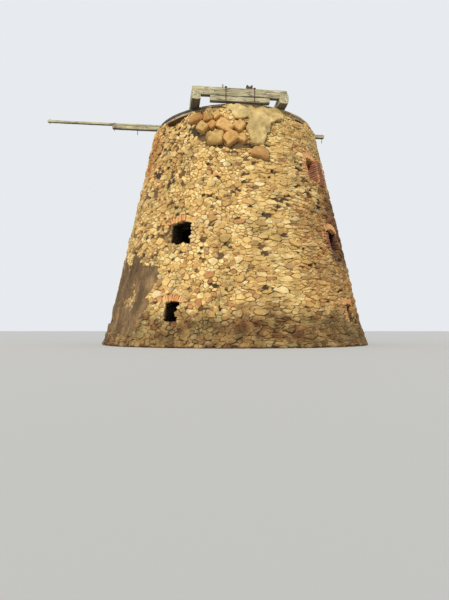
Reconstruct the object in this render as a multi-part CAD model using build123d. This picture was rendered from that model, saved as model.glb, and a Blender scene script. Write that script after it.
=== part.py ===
from build123d import *
import math
import os

os.makedirs("parts", exist_ok=True)

# Ruined tower windmill: a tapered rubble-stone tower on its own footing, the timber curb ring on
# the wall head, and what is left of the base frame of the turning cap.
# Millimetres, +Z up. The origin is on the tower axis at ground level.
# An azimuth is measured from the -Y side, turning towards +X.

# Tower masonry
FOOT_RADIUS = 4560
CONE_FOOT_RADIUS = 4460
HEAD_RADIUS = 2840
HEAD_HEIGHT = 7380
FLARE_HEIGHT = 700
GROUND_WALL = 900
MIDDLE_WALL = 780
UPPER_WALL = 640

# Floors: boards on beams that lie on the ledges where the wall gets thinner
GROUND_FLOOR_THICKNESS = 120
FIRST_FLOOR_TOP = 2500
SECOND_FLOOR_TOP = 4800
DECK_THICKNESS = 45
BEAM_HEIGHT = 240
BEAM_WIDTH = 200
BEAM_SPACING = 1350
FLOOR_GAP = 12
HATCH_SIDE = 900
HATCH_AT = 1500

# Openings in four columns round the tower
FRONT_AZIMUTH = -25
RIGHT_AZIMUTH = 58
BACK_AZIMUTH = 155
LEFT_AZIMUTH = 238
UPPER_RIGHT_AZIMUTH = 50
LOW_SILL = 740
LOW_WIDTH = 450
LOW_HEIGHT = 540
LOW_RISE = 45
MIDDLE_SILL = 3010
MIDDLE_WIDTH = 680
MIDDLE_HEIGHT = 640
MIDDLE_RISE = 80
UPPER_SILL = 5280
UPPER_WIDTH = 520
UPPER_HEIGHT = 700
UPPER_RISE = 60
DOOR_WIDTH = 950
DOOR_HEIGHT = 1600
DOOR_RISE = 150
SPLAY = 0.16
BRICK_LENGTH = 250
ARCH_THICKNESS = 200
ARCH_COURSES = 8
JAMB_BRICK_WIDTH = 250
PROUD_JAMB = 130
BED = 0.3

# Facing stones: the larger stones of the rubble, which stand proud of the face all round the tower.
# Those on the right of the tower are long thin flakes
FACING_COURSE = 540
FACING_PITCH = 700
FACING_TALL = 250
FACING_FLAKE_TALL = 165
FACING_SHARE = 1.4
FACING_FLAKE_SHARE = 2.7
FLAKES_FROM = 0
FLAKES_TO = 80
FACING_PROUD = 75
FACING_CORNERS = 4
FACING_TAPER = 32
FACING_MARGIN = 30
FACING_WANDER = 0.5
FACING_SHIFT = 0.2
FACING_RISE = 0.3
# Whole numbers with uneven roots, whose multiples make the sizes and the places of these stones wander
TALL_ROOT = 2
PROUD_ROOT = 3
CORNER_ROOT = 5
PLACE_ROOT = 7
HEIGHT_ROOT = 11

# Broken places in the wall head
NOTCH_AZIMUTH = -42
NOTCH_WIDTH = 1150
NOTCH_DEPTH = 290
SMALL_NOTCH_AZIMUTH = 47
SMALL_NOTCH_WIDTH = 900
SMALL_NOTCH_DEPTH = 130

# Mortar smeared over the wall and the curb: its outline as seen square on, across and then up
# from the wall head
MORTAR_AZIMUTH = 12
MORTAR_DROP = 1330
MORTAR_PROUD = 150
MORTAR_EDGE = 30
MORTAR_OUTLINE = [
    (-980, 220), (-860, -120), (-560, -360), (-540, -440), (-210, -440), (-200, -860),
    (-120, -1320), (150, -1320), (340, -1080), (600, -580), (900, -280), (1170, 220),
]

# Old render on the lower left: its outline as seen square on, across and then up from the ground
RENDER_AZIMUTH = -58
RENDER_THICKNESS = 30
RENDER_OUTLINE = [
    (-1500, 250), (-1450, 1600), (-1350, 2750), (-900, 2900), (-200, 2740), (600, 2680),
    (1520, 2500), (1450, 1900), (1430, 1600), (1280, 1000), (1330, 600), (1100, 250),
]

# Boulders bedded proud of the face beside the mortar. Each row is an azimuth, the drop from the wall
# head, the width and the tallness as shares of the largest boulder, and a tilt
BOULDER_SIZE = 500
BOULDER_PROUD = 230
BOULDERS = [
    (-10.6, 2.08, 1.00, 0.84, 4),
    (-1.9, 2.10, 0.84, 0.76, -3),
    (4.7, 2.16, 0.48, 0.72, 5),
    (-5.4, 1.27, 0.96, 0.66, -38),
    (-12.6, 1.18, 0.46, 0.70, 3),
    (-18.6, 1.26, 0.66, 0.84, 12),
    (-15.6, 0.60, 0.56, 0.44, 10),
    (-23.4, 0.52, 0.84, 0.50, 12),
    (3.0, 1.30, 0.60, 0.66, 0),
    (14.2, 3.08, 1.00, 0.68, -12),
    (-10.3, 0.54, 0.46, 0.46, -8),
]

# Curb: two layers of curved timber segments with staggered joints
CURB_SETBACK = 40
CURB_WIDTH = 300
CURB_LAYER = 90
CURB_SEGMENTS = 8
CURB_JOINT = 8

# Base frame of the cap
CAP_ANGLE = 8
CAP_SHIFT = -215
SHEER_SPACING = 2750
SHEER_WIDTH = 300
SHEER_HEIGHT = 310
SHEER_OVERHANG = 150
END_BEAM_WIDTH = 200
END_BEAM_HEIGHT = 280
END_BEAM_NOTCH = 140
END_BEAM_SETBACK = 60
END_BEAM_OVERHANG = 20
BOLSTER_LENGTH = 1900
WANE = 22
SPAR_AT = 500
SPAR_LEFT = 4240
SPAR_RIGHT = 3780
SPAR_WIDTH = 170
SPAR_HEIGHT = 130
POLE_TIP = 6540
POLE_LENGTH = 4300
POLE_WIDTH = 120
POLE_HEIGHT = 80

# Ironwork
ROD_DIAMETER = 24
ROD_SPACING = 900
ROD_TAIL = 70
STRAP_THICKNESS = 10
STRAP_WIDTH = 70
SPAR_BOLT_DIAMETER = 22
BOLT_HEAD_SIDE = 44
FORGED_SIDES = 8
SPAR_BOLT_INSET = 90
SPAR_BOLT_PITCH = 830
BOLT_TAIL_LONG = 180
BOLT_TAIL_SHORT = 60
BEARING_AT = 300
BEARING_LENGTH = 190
BEARING_WIDTH = 150
BEARING_HEIGHT = 110
BEARING_BORE = 90
PEG_AT = -540
PEG_SIDE = 50
PEG_HEIGHT = 130

BATTER = (CONE_FOOT_RADIUS - HEAD_RADIUS) / HEAD_HEIGHT
FOOT_SLOPE = (FOOT_RADIUS - CONE_FOOT_RADIUS) / FLARE_HEIGHT + BATTER
FIRST_LEDGE = FIRST_FLOOR_TOP - DECK_THICKNESS - BEAM_HEIGHT
SECOND_LEDGE = SECOND_FLOOR_TOP - DECK_THICKNESS - BEAM_HEIGHT
RIM = HEAD_HEIGHT + 2 * CURB_LAYER
CURB_RADIUS = HEAD_RADIUS - CURB_SETBACK
MORTAR_LOW = HEAD_HEIGHT - MORTAR_DROP
SHEER_HALF_LENGTH = CURB_RADIUS + SHEER_OVERHANG
SHEER_TOP = RIM + SHEER_HEIGHT
END_BEAM_AT = SHEER_HALF_LENGTH - END_BEAM_SETBACK - END_BEAM_WIDTH / 2
END_BEAM_LOW = SHEER_TOP - END_BEAM_NOTCH
END_BEAM_TOP = END_BEAM_LOW + END_BEAM_HEIGHT
END_BEAM_LENGTH = SHEER_SPACING + SHEER_WIDTH - 2 * END_BEAM_OVERHANG
SPAR_TOP = SHEER_TOP + SPAR_HEIGHT
POLE_TOP = SPAR_TOP + POLE_HEIGHT
BEAM_PLACES = [-1.5 * BEAM_SPACING, -0.5 * BEAM_SPACING, 0.5 * BEAM_SPACING, 1.5 * BEAM_SPACING]
REACH = 2 * FOOT_RADIUS
CORE = 1500
LOW = (Align.CENTER, Align.CENTER, Align.MIN)

# Bolts through the spar and the pole: place along the spar from the middle of the cap, low end, high end
SPAR_BOLTS = [
    (SPAR_RIGHT - SPAR_BOLT_INSET, SHEER_TOP - BOLT_TAIL_LONG, SPAR_TOP),
    (SPAR_BOLT_INSET - SPAR_LEFT, SHEER_TOP - BOLT_TAIL_SHORT, POLE_TOP),
    (SPAR_BOLT_INSET - SPAR_LEFT + SPAR_BOLT_PITCH, SHEER_TOP - BOLT_TAIL_LONG, POLE_TOP),
    (SPAR_BOLT_INSET - POLE_TIP, SPAR_TOP - BOLT_TAIL_SHORT, POLE_TOP),
]


def face_radius(height):
    """Outer radius of the straight batter at a height."""
    return CONE_FOOT_RADIUS - BATTER * height


def out_from_axis(azimuth):
    turn = math.radians(azimuth)
    return Vector(math.sin(turn), -math.cos(turn), 0)


def along_wall(azimuth):
    turn = math.radians(azimuth)
    return Vector(math.cos(turn), math.sin(turn), 0)


def upright_plane(azimuth, radius=0, height=0):
    """A plane that faces outward: its x runs round the wall and its y runs up."""
    return Plane(
        origin=out_from_axis(azimuth) * radius + Vector(0, 0, height),
        x_dir=along_wall(azimuth),
        z_dir=out_from_axis(azimuth),
    )


def plan_point(azimuth, across, radius):
    point = out_from_axis(azimuth) * radius + along_wall(azimuth) * across
    return (point.X, point.Y)


def plan_prism(points, low, high):
    outline = make_face(Polyline(*points, close=True))
    return Pos(0, 0, low) * extrude(outline, high - low)


def turned(points):
    """A solid of revolution about the tower axis from (radius, height) points."""
    return revolve(Plane.XZ * make_face(Polyline(*points, close=True)), Axis.Z)


def tower_body(growth=0):
    """Everything inside the outer face of the tower, grown outward by a distance."""
    return turned([
        (0, 0),
        (FOOT_RADIUS + growth, 0),
        (face_radius(FLARE_HEIGHT) + growth, FLARE_HEIGHT),
        (HEAD_RADIUS + growth, HEAD_HEIGHT),
        (0, HEAD_HEIGHT),
    ])


def storey_ring(low, high, thickness):
    """One storey of the wall as a full ring with parallel battered faces."""
    hollow = turned([
        (0, low),
        (face_radius(low) - thickness, low),
        (face_radius(high) - thickness, high),
        (0, high),
    ])
    slab = Pos(0, 0, low) * Cylinder(REACH, high - low, align=(Align.CENTER, Align.CENTER, Align.MIN))
    return (tower_body() & slab) - hollow


class Opening:
    """A window or doorway: its middle, clear size, sill and arch rise."""

    def __init__(self, azimuth, width, sill, height, rise):
        self.azimuth = azimuth
        self.width = width
        self.sill = sill
        self.spring = sill + height
        self.rise = rise
        self.crown = self.spring + rise
        self.face = face_radius((sill + self.spring) / 2)
        self.outside = self.face + GROUND_WALL

    def half_width(self, radius):
        return self.width / 2 + SPLAY * (self.face - radius)

    def side(self, sign, radius):
        return plan_point(self.azimuth, sign * self.half_width(radius), radius)


class Joint:
    """A plain upright joint in the wall, where a column has no opening on this storey."""

    def __init__(self, azimuth):
        self.azimuth = azimuth
        self.width = 0
        self.outside = REACH

    def side(self, sign, radius):
        return plan_point(self.azimuth, 0, radius)


def low_window(azimuth):
    return Opening(azimuth, LOW_WIDTH, LOW_SILL, LOW_HEIGHT, LOW_RISE)


def middle_window(azimuth):
    return Opening(azimuth, MIDDLE_WIDTH, MIDDLE_SILL, MIDDLE_HEIGHT, MIDDLE_RISE)


def upper_window(azimuth):
    return Opening(azimuth, UPPER_WIDTH, UPPER_SILL, UPPER_HEIGHT, UPPER_RISE)


DOORWAY = Opening(BACK_AZIMUTH, DOOR_WIDTH, GROUND_FLOOR_THICKNESS, DOOR_HEIGHT, DOOR_RISE)
RIGHT_UPPER = upper_window(UPPER_RIGHT_AZIMUTH)
RIGHT_MIDDLE = middle_window(RIGHT_AZIMUTH)
STOREYS = {
    "lower": (0, FIRST_LEDGE, GROUND_WALL, [
        low_window(FRONT_AZIMUTH),
        low_window(RIGHT_AZIMUTH),
        DOORWAY,
        low_window(LEFT_AZIMUTH),
    ]),
    "middle": (FIRST_LEDGE, SECOND_LEDGE, MIDDLE_WALL, [
        middle_window(FRONT_AZIMUTH),
        RIGHT_MIDDLE,
        middle_window(BACK_AZIMUTH),
        middle_window(LEFT_AZIMUTH),
    ]),
    "upper": (SECOND_LEDGE, HEAD_HEIGHT, UPPER_WALL, [
        Joint(FRONT_AZIMUTH),
        RIGHT_UPPER,
        upper_window(BACK_AZIMUTH),
        Joint(LEFT_AZIMUTH),
    ]),
}
PIER_NAMES = ["front_right", "back_right", "back_left", "front_left"]
OPENINGS = [place for storey in STOREYS.values() for place in storey[3] if place.width]


def pier_prism(start, end, low, high):
    """The plan of one pier, from one opening's right side to the next one's left side."""
    middle = (start.azimuth + (end.azimuth - start.azimuth) % 360 / 2)
    corner = out_from_axis(middle) * (2 * REACH)
    points = [
        start.side(1, CORE),
        start.side(1, start.outside),
        (corner.X, corner.Y),
        end.side(-1, end.outside),
        end.side(-1, CORE),
    ]
    return plan_prism(points, low, high)


def opening_prism(place, low, high):
    points = [
        place.side(-1, CORE),
        place.side(-1, place.outside),
        place.side(1, place.outside),
        place.side(1, CORE),
    ]
    return plan_prism(points, low, high)


def arch(place, growth=0):
    """Segmental brick arch, flush with the wall face; growth widens it for the seat cut in the wall."""
    half = place.width / 2
    radius = (half ** 2 + place.rise ** 2) / (2 * place.rise)
    centre = place.crown - radius
    lean = math.asin(half / radius)
    inner = radius if growth == 0 else radius - ARCH_THICKNESS / 2
    outer = radius + ARCH_THICKNESS + growth
    spread = lean + growth / radius
    steps = [spread * (2 * step / ARCH_COURSES - 1) for step in range(ARCH_COURSES + 1)]
    points = [(outer * math.sin(turn), centre + outer * math.cos(turn)) for turn in steps]
    points += [(inner * math.sin(turn), centre + inner * math.cos(turn)) for turn in reversed(steps)]
    back = face_radius(place.spring) - BRICK_LENGTH - growth
    outline = make_face(Polyline(*points, close=True))
    ring = extrude(upright_plane(place.azimuth, back) * outline, REACH - back)
    return ring & tower_body() if growth == 0 else ring


def jamb(place, sign, low, high, proud=0):
    """Brick facing beside an opening, from the face of the wall one brick inward."""
    back = place.face - BRICK_LENGTH
    inner = sign * place.half_width(back)
    outer = sign * (place.half_width(place.face) + JAMB_BRICK_WIDTH)
    points = [
        plan_point(place.azimuth, inner, back),
        place.side(sign, place.face + BRICK_LENGTH),
        plan_point(place.azimuth, outer, place.face + BRICK_LENGTH),
        plan_point(place.azimuth, outer, back),
    ]
    block = plan_prism(points, low, high)
    return block, block & tower_body(proud)


def wall_notch(azimuth, width, depth):
    """A ragged break in the wall head, open to the top."""
    outline = Polyline(
        (-width / 2, HEAD_HEIGHT + CURB_LAYER),
        (-width / 2, HEAD_HEIGHT - depth / 4),
        (-width / 3, HEAD_HEIGHT - depth * 3 / 4),
        (-width / 12, HEAD_HEIGHT - depth),
        (width / 4, HEAD_HEIGHT - depth * 4 / 5),
        (width / 2, HEAD_HEIGHT - depth / 4),
        (width / 2, HEAD_HEIGHT + CURB_LAYER),
        close=True,
    )
    return extrude(upright_plane(azimuth) * make_face(outline), REACH)


def sector(start, end, low, high):
    """A wedge of plan between two azimuths less than half a turn apart."""
    middle = out_from_axis((start + end) / 2) * (2 * REACH)
    first = out_from_axis(start) * REACH
    last = out_from_axis(end) * REACH
    return plan_prism([(0, 0), (first.X, first.Y), (middle.X, middle.Y), (last.X, last.Y)], low, high)


def face_piece(shell, azimuth, outline, datum=0):
    """The part of a shell on the wall face inside an outline seen square on, measured from a datum height."""
    cutter = extrude(upright_plane(azimuth, 0, datum) * make_face(Polyline(*outline, close=True)), REACH)
    return shell & cutter


def wandering(number, root):
    """A share between 0 and 1 that wanders evenly and never repeats, for whole numbers in turn."""
    return number * math.sqrt(root) % 1


def facing_stone(azimuth, height, number):
    """A rough stone lying against the battered face, with a few corners, drawn in towards its front."""
    flake = FLAKES_FROM < azimuth % 360 < FLAKES_TO
    tall = FACING_FLAKE_TALL if flake else FACING_TALL
    tall *= 1 + FACING_WANDER * (wandering(number, TALL_ROOT) - 0.5)
    long = tall * (FACING_FLAKE_SHARE if flake else FACING_SHARE)
    proud = FACING_PROUD * (1 - FACING_WANDER * wandering(number, PROUD_ROOT))
    corners = FACING_CORNERS + number % 2
    step = 360 / corners
    turns = [step * (corner + FACING_WANDER * wandering(number + corner, CORNER_ROOT)) for corner in range(corners)]
    points = [(long / 2 * math.cos(math.radians(turn)), tall / 2 * math.sin(math.radians(turn))) for turn in turns]
    on_foot = height < FLARE_HEIGHT
    slope = FOOT_SLOPE if on_foot else BATTER
    radius = FOOT_RADIUS - FOOT_SLOPE * height if on_foot else face_radius(height)
    face = Plane(
        origin=out_from_axis(azimuth) * radius + Vector(0, 0, height),
        x_dir=along_wall(azimuth),
        z_dir=out_from_axis(azimuth) + Vector(0, 0, slope),
    )
    front = make_face(Polyline(*points, close=True))
    return face * Pos(0, 0, BED) * extrude(front, proud, taper=FACING_TAPER)


def boxes_meet(one, other):
    """Whether two bounding boxes come within the margin of each other."""
    rows = zip(tuple(one.min), tuple(one.max), tuple(other.min), tuple(other.max))
    return all(low - FACING_MARGIN < other_high and other_low < high + FACING_MARGIN
               for low, high, other_low, other_high in rows)


def meets(stone, box, other, other_box):
    """Whether a stone lies in another shape or within the margin of it."""
    if not boxes_meet(box, other_box):
        return False
    return other.is_inside(stone.center()) or stone.distance_to(other) < FACING_MARGIN


def facing_stones(low, high, kept_clear):
    """Facing stones in rough courses between two heights, apart from those that would meet what is kept clear."""
    courses = round((high - low) / FACING_COURSE)
    course = (high - low) / courses
    found = []
    number = 0
    for line in range(courses):
        middle = low + (line + 0.5) * course
        places = round(2 * math.pi * face_radius(middle) / FACING_PITCH)
        for place in range(places):
            number += 1
            shift = line / 2 + FACING_SHIFT * wandering(number, PLACE_ROOT)
            height = middle + FACING_RISE * course * (wandering(number, HEIGHT_ROOT) - 0.5)
            stone = facing_stone((place + shift) * 360 / places, height, number)
            box = stone.bounding_box()
            if not any(meets(stone, box, *obstacle) for obstacle in kept_clear):
                found.append(stone)
    return found


def boulder(azimuth, drop, wide, high, tilt):
    """A rough block with its corners knocked off, standing proud of the wall face."""
    height = HEAD_HEIGHT - drop * BOULDER_SIZE
    width = wide * BOULDER_SIZE
    tall = high * BOULDER_SIZE
    deep = 2 * BOULDER_PROUD
    block = Box(width, tall, deep)
    block &= Rot(0, 0, 42) * Box(0.92 * width, 0.92 * width, 2 * deep)
    block &= Rot(47, 0, 0) * Box(2 * width, 1.12 * deep, 1.12 * deep)
    block &= Rot(0, 44, 0) * Box(1.15 * width, 2 * tall, 1.15 * width)
    return upright_plane(azimuth, face_radius(height), height) * Rot(0, 0, tilt) * block


def squared_timber(width, length, height):
    """A hewn timber lying along y on its underside, with waney edges."""
    timber = Box(width, length, height, align=LOW)
    return chamfer(timber.edges().filter_by(Axis.Y), WANE)


def crossing_timber(width, length, height):
    """The same timber lying along x."""
    return Rot(0, 0, 90) * squared_timber(width, length, height)


def floor_beam():
    return Box(REACH, BEAM_WIDTH, BEAM_HEIGHT, align=LOW)


def curb_segment(layer, number):
    """One curved segment of the curb; the upper layer's joints lie over the lower one's middles."""
    share = 360 / CURB_SEGMENTS
    gap = math.degrees(CURB_JOINT / CURB_RADIUS)
    start = (number + layer / 2) * share
    ring = Cylinder(CURB_RADIUS, CURB_LAYER, align=LOW)
    ring -= Cylinder(CURB_RADIUS - CURB_WIDTH, CURB_LAYER, align=LOW)
    return Pos(0, 0, HEAD_HEIGHT + layer * CURB_LAYER) * ring & sector(start + gap / 2, start + share - gap / 2, 0, RIM)


def forged_bar(diameter, length):
    """An upright hand-forged bar, roughly round, standing on its low end."""
    return extrude(RegularPolygon(diameter / 2, FORGED_SIDES), length)


def spar_bolt(place, low, high):
    """An upright bolt through the spar or the pole: its place along the spar, its two ends."""
    shank = Pos(place, SPAR_AT, low) * forged_bar(SPAR_BOLT_DIAMETER, high - low)
    head = Pos(place, SPAR_AT, high) * Box(BOLT_HEAD_SIDE, BOLT_HEAD_SIDE, SPAR_BOLT_DIAMETER, align=LOW)
    return CAP * (shank + head)


def hanger_rod(place):
    """A rod down the front of the beams, with a strap hooked over the top and a keep plate below."""
    front = -END_BEAM_AT - END_BEAM_WIDTH / 2
    rod_at = front - ROD_DIAMETER / 2 - BED
    foot = RIM - ROD_TAIL
    rod = Pos(place, rod_at, foot) * forged_bar(ROD_DIAMETER, END_BEAM_TOP + STRAP_THICKNESS - foot)
    strap_length = END_BEAM_WIDTH * 3 / 4
    strap = Pos(place, rod_at - ROD_DIAMETER / 2 + strap_length / 2, END_BEAM_TOP)
    strap *= Box(STRAP_WIDTH, strap_length, STRAP_THICKNESS, align=LOW)
    return CAP * (rod + strap)


def write(name, solids):
    """One sub-part as one file: a single solid, or like solids that don't touch."""
    pieces = [piece for solid in solids for piece in solid.solids()]
    shape = pieces[0] if len(pieces) == 1 else Compound(children=pieces)
    shape.label = name
    export_step(shape, f"parts/{name}.step")
    print(name, len(pieces), round(sum(piece.volume for piece in pieces) / 1e9, 4), "m3")


# Shared frames and cutters
cap_side = Vector(math.cos(math.radians(CAP_ANGLE)), math.sin(math.radians(CAP_ANGLE)), 0)
CAP = Plane(origin=cap_side * CAP_SHIFT, x_dir=cap_side, z_dir=(0, 0, 1))
FACE_CUTTER = tower_body(BED)
hatch = Pos(HATCH_AT, 0, 0) * Box(HATCH_SIDE, HATCH_SIDE, HEAD_HEIGHT, align=LOW)
end_beam = crossing_timber(END_BEAM_WIDTH, END_BEAM_LENGTH, END_BEAM_HEIGHT)
bolster = crossing_timber(END_BEAM_WIDTH, BOLSTER_LENGTH, END_BEAM_LOW - RIM)
notch = Box(REACH, END_BEAM_WIDTH, END_BEAM_HEIGHT, align=LOW)
end_notches = [CAP * Pos(0, sign * END_BEAM_AT, END_BEAM_LOW) * notch for sign in (-1, 1)]
spar_middle = (SPAR_RIGHT - SPAR_LEFT) / 2
spar = CAP * Pos(spar_middle, SPAR_AT, SHEER_TOP) * crossing_timber(SPAR_WIDTH, SPAR_LEFT + SPAR_RIGHT, SPAR_HEIGHT)
pole_middle = POLE_LENGTH / 2 - POLE_TIP
pole = CAP * Pos(pole_middle, SPAR_AT, SPAR_TOP) * crossing_timber(POLE_WIDTH, POLE_LENGTH, POLE_HEIGHT)
bolt_hole = forged_bar(SPAR_BOLT_DIAMETER + 2 * BED, SPAR_HEIGHT + POLE_HEIGHT)
spar_holes = [CAP * Pos(row[0], SPAR_AT, SHEER_TOP) * bolt_hole for row in SPAR_BOLTS]
bearing_block = Box(BEARING_LENGTH, BEARING_WIDTH, BEARING_HEIGHT, align=LOW)
bearing_block -= Pos(0, 0, BEARING_HEIGHT) * Rot(90, 0, 0) * Cylinder(BEARING_BORE / 2, 2 * BEARING_WIDTH)
iron_bearing = CAP * Pos(BEARING_AT, -END_BEAM_AT, END_BEAM_TOP) * bearing_block
beam_peg = CAP * Pos(PEG_AT, -END_BEAM_AT, END_BEAM_TOP) * Box(PEG_SIDE, PEG_SIDE, PEG_HEIGHT, align=LOW)

# Brick dressings: the arches, and the jambs of the right-hand windows
arches = {place: arch(place) for place in OPENINGS}
arch_seats = [arch(place, BED) for place in OPENINGS]
middle_jamb_seat, middle_jamb = jamb(RIGHT_MIDDLE, -1, MIDDLE_SILL, RIGHT_MIDDLE.spring)
proud_jamb_seat, proud_jamb = jamb(RIGHT_UPPER, 1, UPPER_SILL, RIGHT_UPPER.spring, PROUD_JAMB)
seats = arch_seats + [middle_jamb_seat, proud_jamb_seat]
breaks = [
    wall_notch(NOTCH_AZIMUTH, NOTCH_WIDTH, NOTCH_DEPTH),
    wall_notch(SMALL_NOTCH_AZIMUTH, SMALL_NOTCH_WIDTH, SMALL_NOTCH_DEPTH),
]

# Walls: four piers a storey, with the blocks under and over the openings between them
for storey, (low, high, thickness, places) in STOREYS.items():
    ring = storey_ring(low, high, thickness)
    if storey == "upper":
        ring -= breaks
    ring -= seats
    for start, end, name in zip(places, places[1:] + places[:1], PIER_NAMES):
        write(f"{storey}_wall_{name}", [ring & pier_prism(start, end, low, high)])
    openings = [place for place in places if place.width]
    write(f"{storey}_sill_walls", [ring & opening_prism(place, low, place.sill) for place in openings])
    write(f"{storey}_head_walls", [ring & opening_prism(place, place.crown, high) for place in openings])

write("brick_arches", arches.values())
write("middle_window_brick_jamb", [middle_jamb])
write("upper_window_brick_jamb", [proud_jamb])

# Patches on the outer face: the mortar smeared up to the curb, the boulders bedded beside it,
# and the old render low on the left
mortar = turned([
    (face_radius(MORTAR_LOW) + BED, MORTAR_LOW),
    (HEAD_RADIUS + BED, HEAD_HEIGHT),
    (CURB_RADIUS + BED, HEAD_HEIGHT),
    (CURB_RADIUS + BED, RIM - MORTAR_EDGE),
    (CURB_RADIUS + MORTAR_EDGE, RIM - MORTAR_EDGE),
    (HEAD_RADIUS + MORTAR_PROUD, HEAD_HEIGHT - MORTAR_PROUD),
    (face_radius(MORTAR_LOW + MORTAR_PROUD) + MORTAR_PROUD, MORTAR_LOW + MORTAR_PROUD),
    (face_radius(MORTAR_LOW) + MORTAR_EDGE, MORTAR_LOW),
])
mortar_patch = face_piece(mortar, MORTAR_AZIMUTH, MORTAR_OUTLINE, HEAD_HEIGHT)
boulders = [boulder(*row) - FACE_CUTTER for row in BOULDERS]
render_coat = face_piece(tower_body(BED + RENDER_THICKNESS) - FACE_CUTTER, RENDER_AZIMUTH, RENDER_OUTLINE)
write("mortar_patch", [mortar_patch])
write("boulder_course", boulders)
write("old_render_coat", [render_coat])

# Facing stones, clear of the openings, the bricks, the patches and the broken places
window_gaps = [opening_prism(place, place.sill, place.crown) for place in OPENINGS]
kept_clear = window_gaps + list(arches.values()) + [middle_jamb, proud_jamb] + breaks
kept_clear += [mortar_patch, render_coat] + boulders
kept_clear = [(shape, shape.bounding_box()) for shape in kept_clear]
for storey, (low, high, _, _) in STOREYS.items():
    foot_stones = facing_stones(low, FLARE_HEIGHT, kept_clear) if low < FLARE_HEIGHT else []
    write(f"{storey}_facing_stones", foot_stones + facing_stones(max(low, FLARE_HEIGHT), high, kept_clear))

# Floors
ground_radius = face_radius(GROUND_FLOOR_THICKNESS) - GROUND_WALL - BED
ground_floor = Cylinder(ground_radius, GROUND_FLOOR_THICKNESS, align=(Align.CENTER, Align.CENTER, Align.MIN))
write("ground_floor_flags", [ground_floor])
for floor, top, wall in (("first", FIRST_FLOOR_TOP, MIDDLE_WALL), ("second", SECOND_FLOOR_TOP, UPPER_WALL)):
    room = tower_body(-wall - FLOOR_GAP)
    ledge = top - DECK_THICKNESS - BEAM_HEIGHT
    write(f"{floor}_floor_beams", [Pos(0, place, ledge) * floor_beam() & room for place in BEAM_PLACES])
    deck = Pos(0, 0, ledge + BEAM_HEIGHT) * Box(REACH, REACH, DECK_THICKNESS, align=LOW)
    write(f"{floor}_floor_boards", [(deck & room) - hatch])

# Curb ring
for layer, name in enumerate(("curb_ring_lower", "curb_ring_upper")):
    write(name, [curb_segment(layer, number) for number in range(CURB_SEGMENTS)])

# Base frame of the cap
for sign, name in ((-1, "sheer_left"), (1, "sheer_right")):
    timber = squared_timber(SHEER_WIDTH, 2 * SHEER_HALF_LENGTH, SHEER_HEIGHT)
    write(name, [CAP * Pos(sign * SHEER_SPACING / 2, 0, RIM) * timber - end_notches])
for sign, name in ((-1, "near_cross_beam"), (1, "far_cross_beam")):
    write(name, [CAP * Pos(0, sign * END_BEAM_AT, END_BEAM_LOW) * end_beam])
write("hung_bolster", [CAP * Pos(0, -END_BEAM_AT, RIM) * bolster])
write("cross_spar", [spar - spar_holes])
write("top_pole", [pole - spar_holes])

# Ironwork
write("spar_bolts", [spar_bolt(*row) for row in SPAR_BOLTS])
write("hanger_rods", [hanger_rod(sign * ROD_SPACING / 2) for sign in (-1, 1)])
write("iron_bearing", [iron_bearing])
write("beam_peg", [beam_peg])
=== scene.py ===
# %% [markdown]
# This lesson dresses a ruined tower windmill: a tapered tower of rubble stone, the timber curb on
# which its cap once turned, and the last beams of the cap. The construction is already modelled and
# comes in as a fixed frame. Each step below adds what a mason, a carpenter or the weather would have
# left on it. Everything is in metres, with Z up and the tower's axis through the origin.

import math
import random

import bmesh
import bpy
from mathutils import Euler, Matrix, Vector, geometry, noise


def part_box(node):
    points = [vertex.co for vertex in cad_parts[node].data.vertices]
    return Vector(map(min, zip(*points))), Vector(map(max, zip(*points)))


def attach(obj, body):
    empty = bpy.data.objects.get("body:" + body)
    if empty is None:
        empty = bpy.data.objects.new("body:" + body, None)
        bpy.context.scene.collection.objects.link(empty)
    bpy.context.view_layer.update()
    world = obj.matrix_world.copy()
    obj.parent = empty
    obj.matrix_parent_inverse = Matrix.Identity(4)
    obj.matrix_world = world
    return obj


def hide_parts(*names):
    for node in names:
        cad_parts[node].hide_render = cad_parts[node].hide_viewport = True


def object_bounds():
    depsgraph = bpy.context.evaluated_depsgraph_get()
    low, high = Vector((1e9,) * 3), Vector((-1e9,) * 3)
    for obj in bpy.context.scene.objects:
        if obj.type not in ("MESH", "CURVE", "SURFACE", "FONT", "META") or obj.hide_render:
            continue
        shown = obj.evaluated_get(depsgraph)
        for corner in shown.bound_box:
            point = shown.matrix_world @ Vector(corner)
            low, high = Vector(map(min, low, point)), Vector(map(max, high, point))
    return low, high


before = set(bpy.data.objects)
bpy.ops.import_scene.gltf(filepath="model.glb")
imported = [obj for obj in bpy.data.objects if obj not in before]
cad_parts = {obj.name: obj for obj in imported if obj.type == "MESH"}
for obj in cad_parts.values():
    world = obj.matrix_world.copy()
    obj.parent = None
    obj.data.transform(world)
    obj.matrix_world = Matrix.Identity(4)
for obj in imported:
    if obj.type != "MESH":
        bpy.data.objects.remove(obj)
cad_low, cad_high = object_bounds()
print("frame:", len(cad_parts), "nodes,", tuple(round(v, 3) for v in cad_high - cad_low), "m")

# %% [markdown]
# The camera stands low on the grass in front of the tower and looks slightly up and left. A lens of
# 30 mm on a 36 mm sensor gives the same convergence of the walls as the photograph. The lens could be
# longer with the camera further back, but then the under sides of the cap's beams would not show.

# %% Camera
CAMERA_PLACE = (0, -18, 0.5)
CAMERA_PITCH = math.radians(3.43)
CAMERA_TURN = math.radians(1.14)

scene = bpy.context.scene


def linked(name, data):
    """A new object in the scene."""
    made = bpy.data.objects.new(name, data)
    scene.collection.objects.link(made)
    return made


camera = linked("camera", bpy.data.cameras.new("camera"))
camera.data.lens = 30
camera.data.sensor_width = 36
camera.location = CAMERA_PLACE
camera.rotation_euler = (math.pi / 2 + CAMERA_PITCH, 0, CAMERA_TURN)
scene.camera = camera

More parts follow.
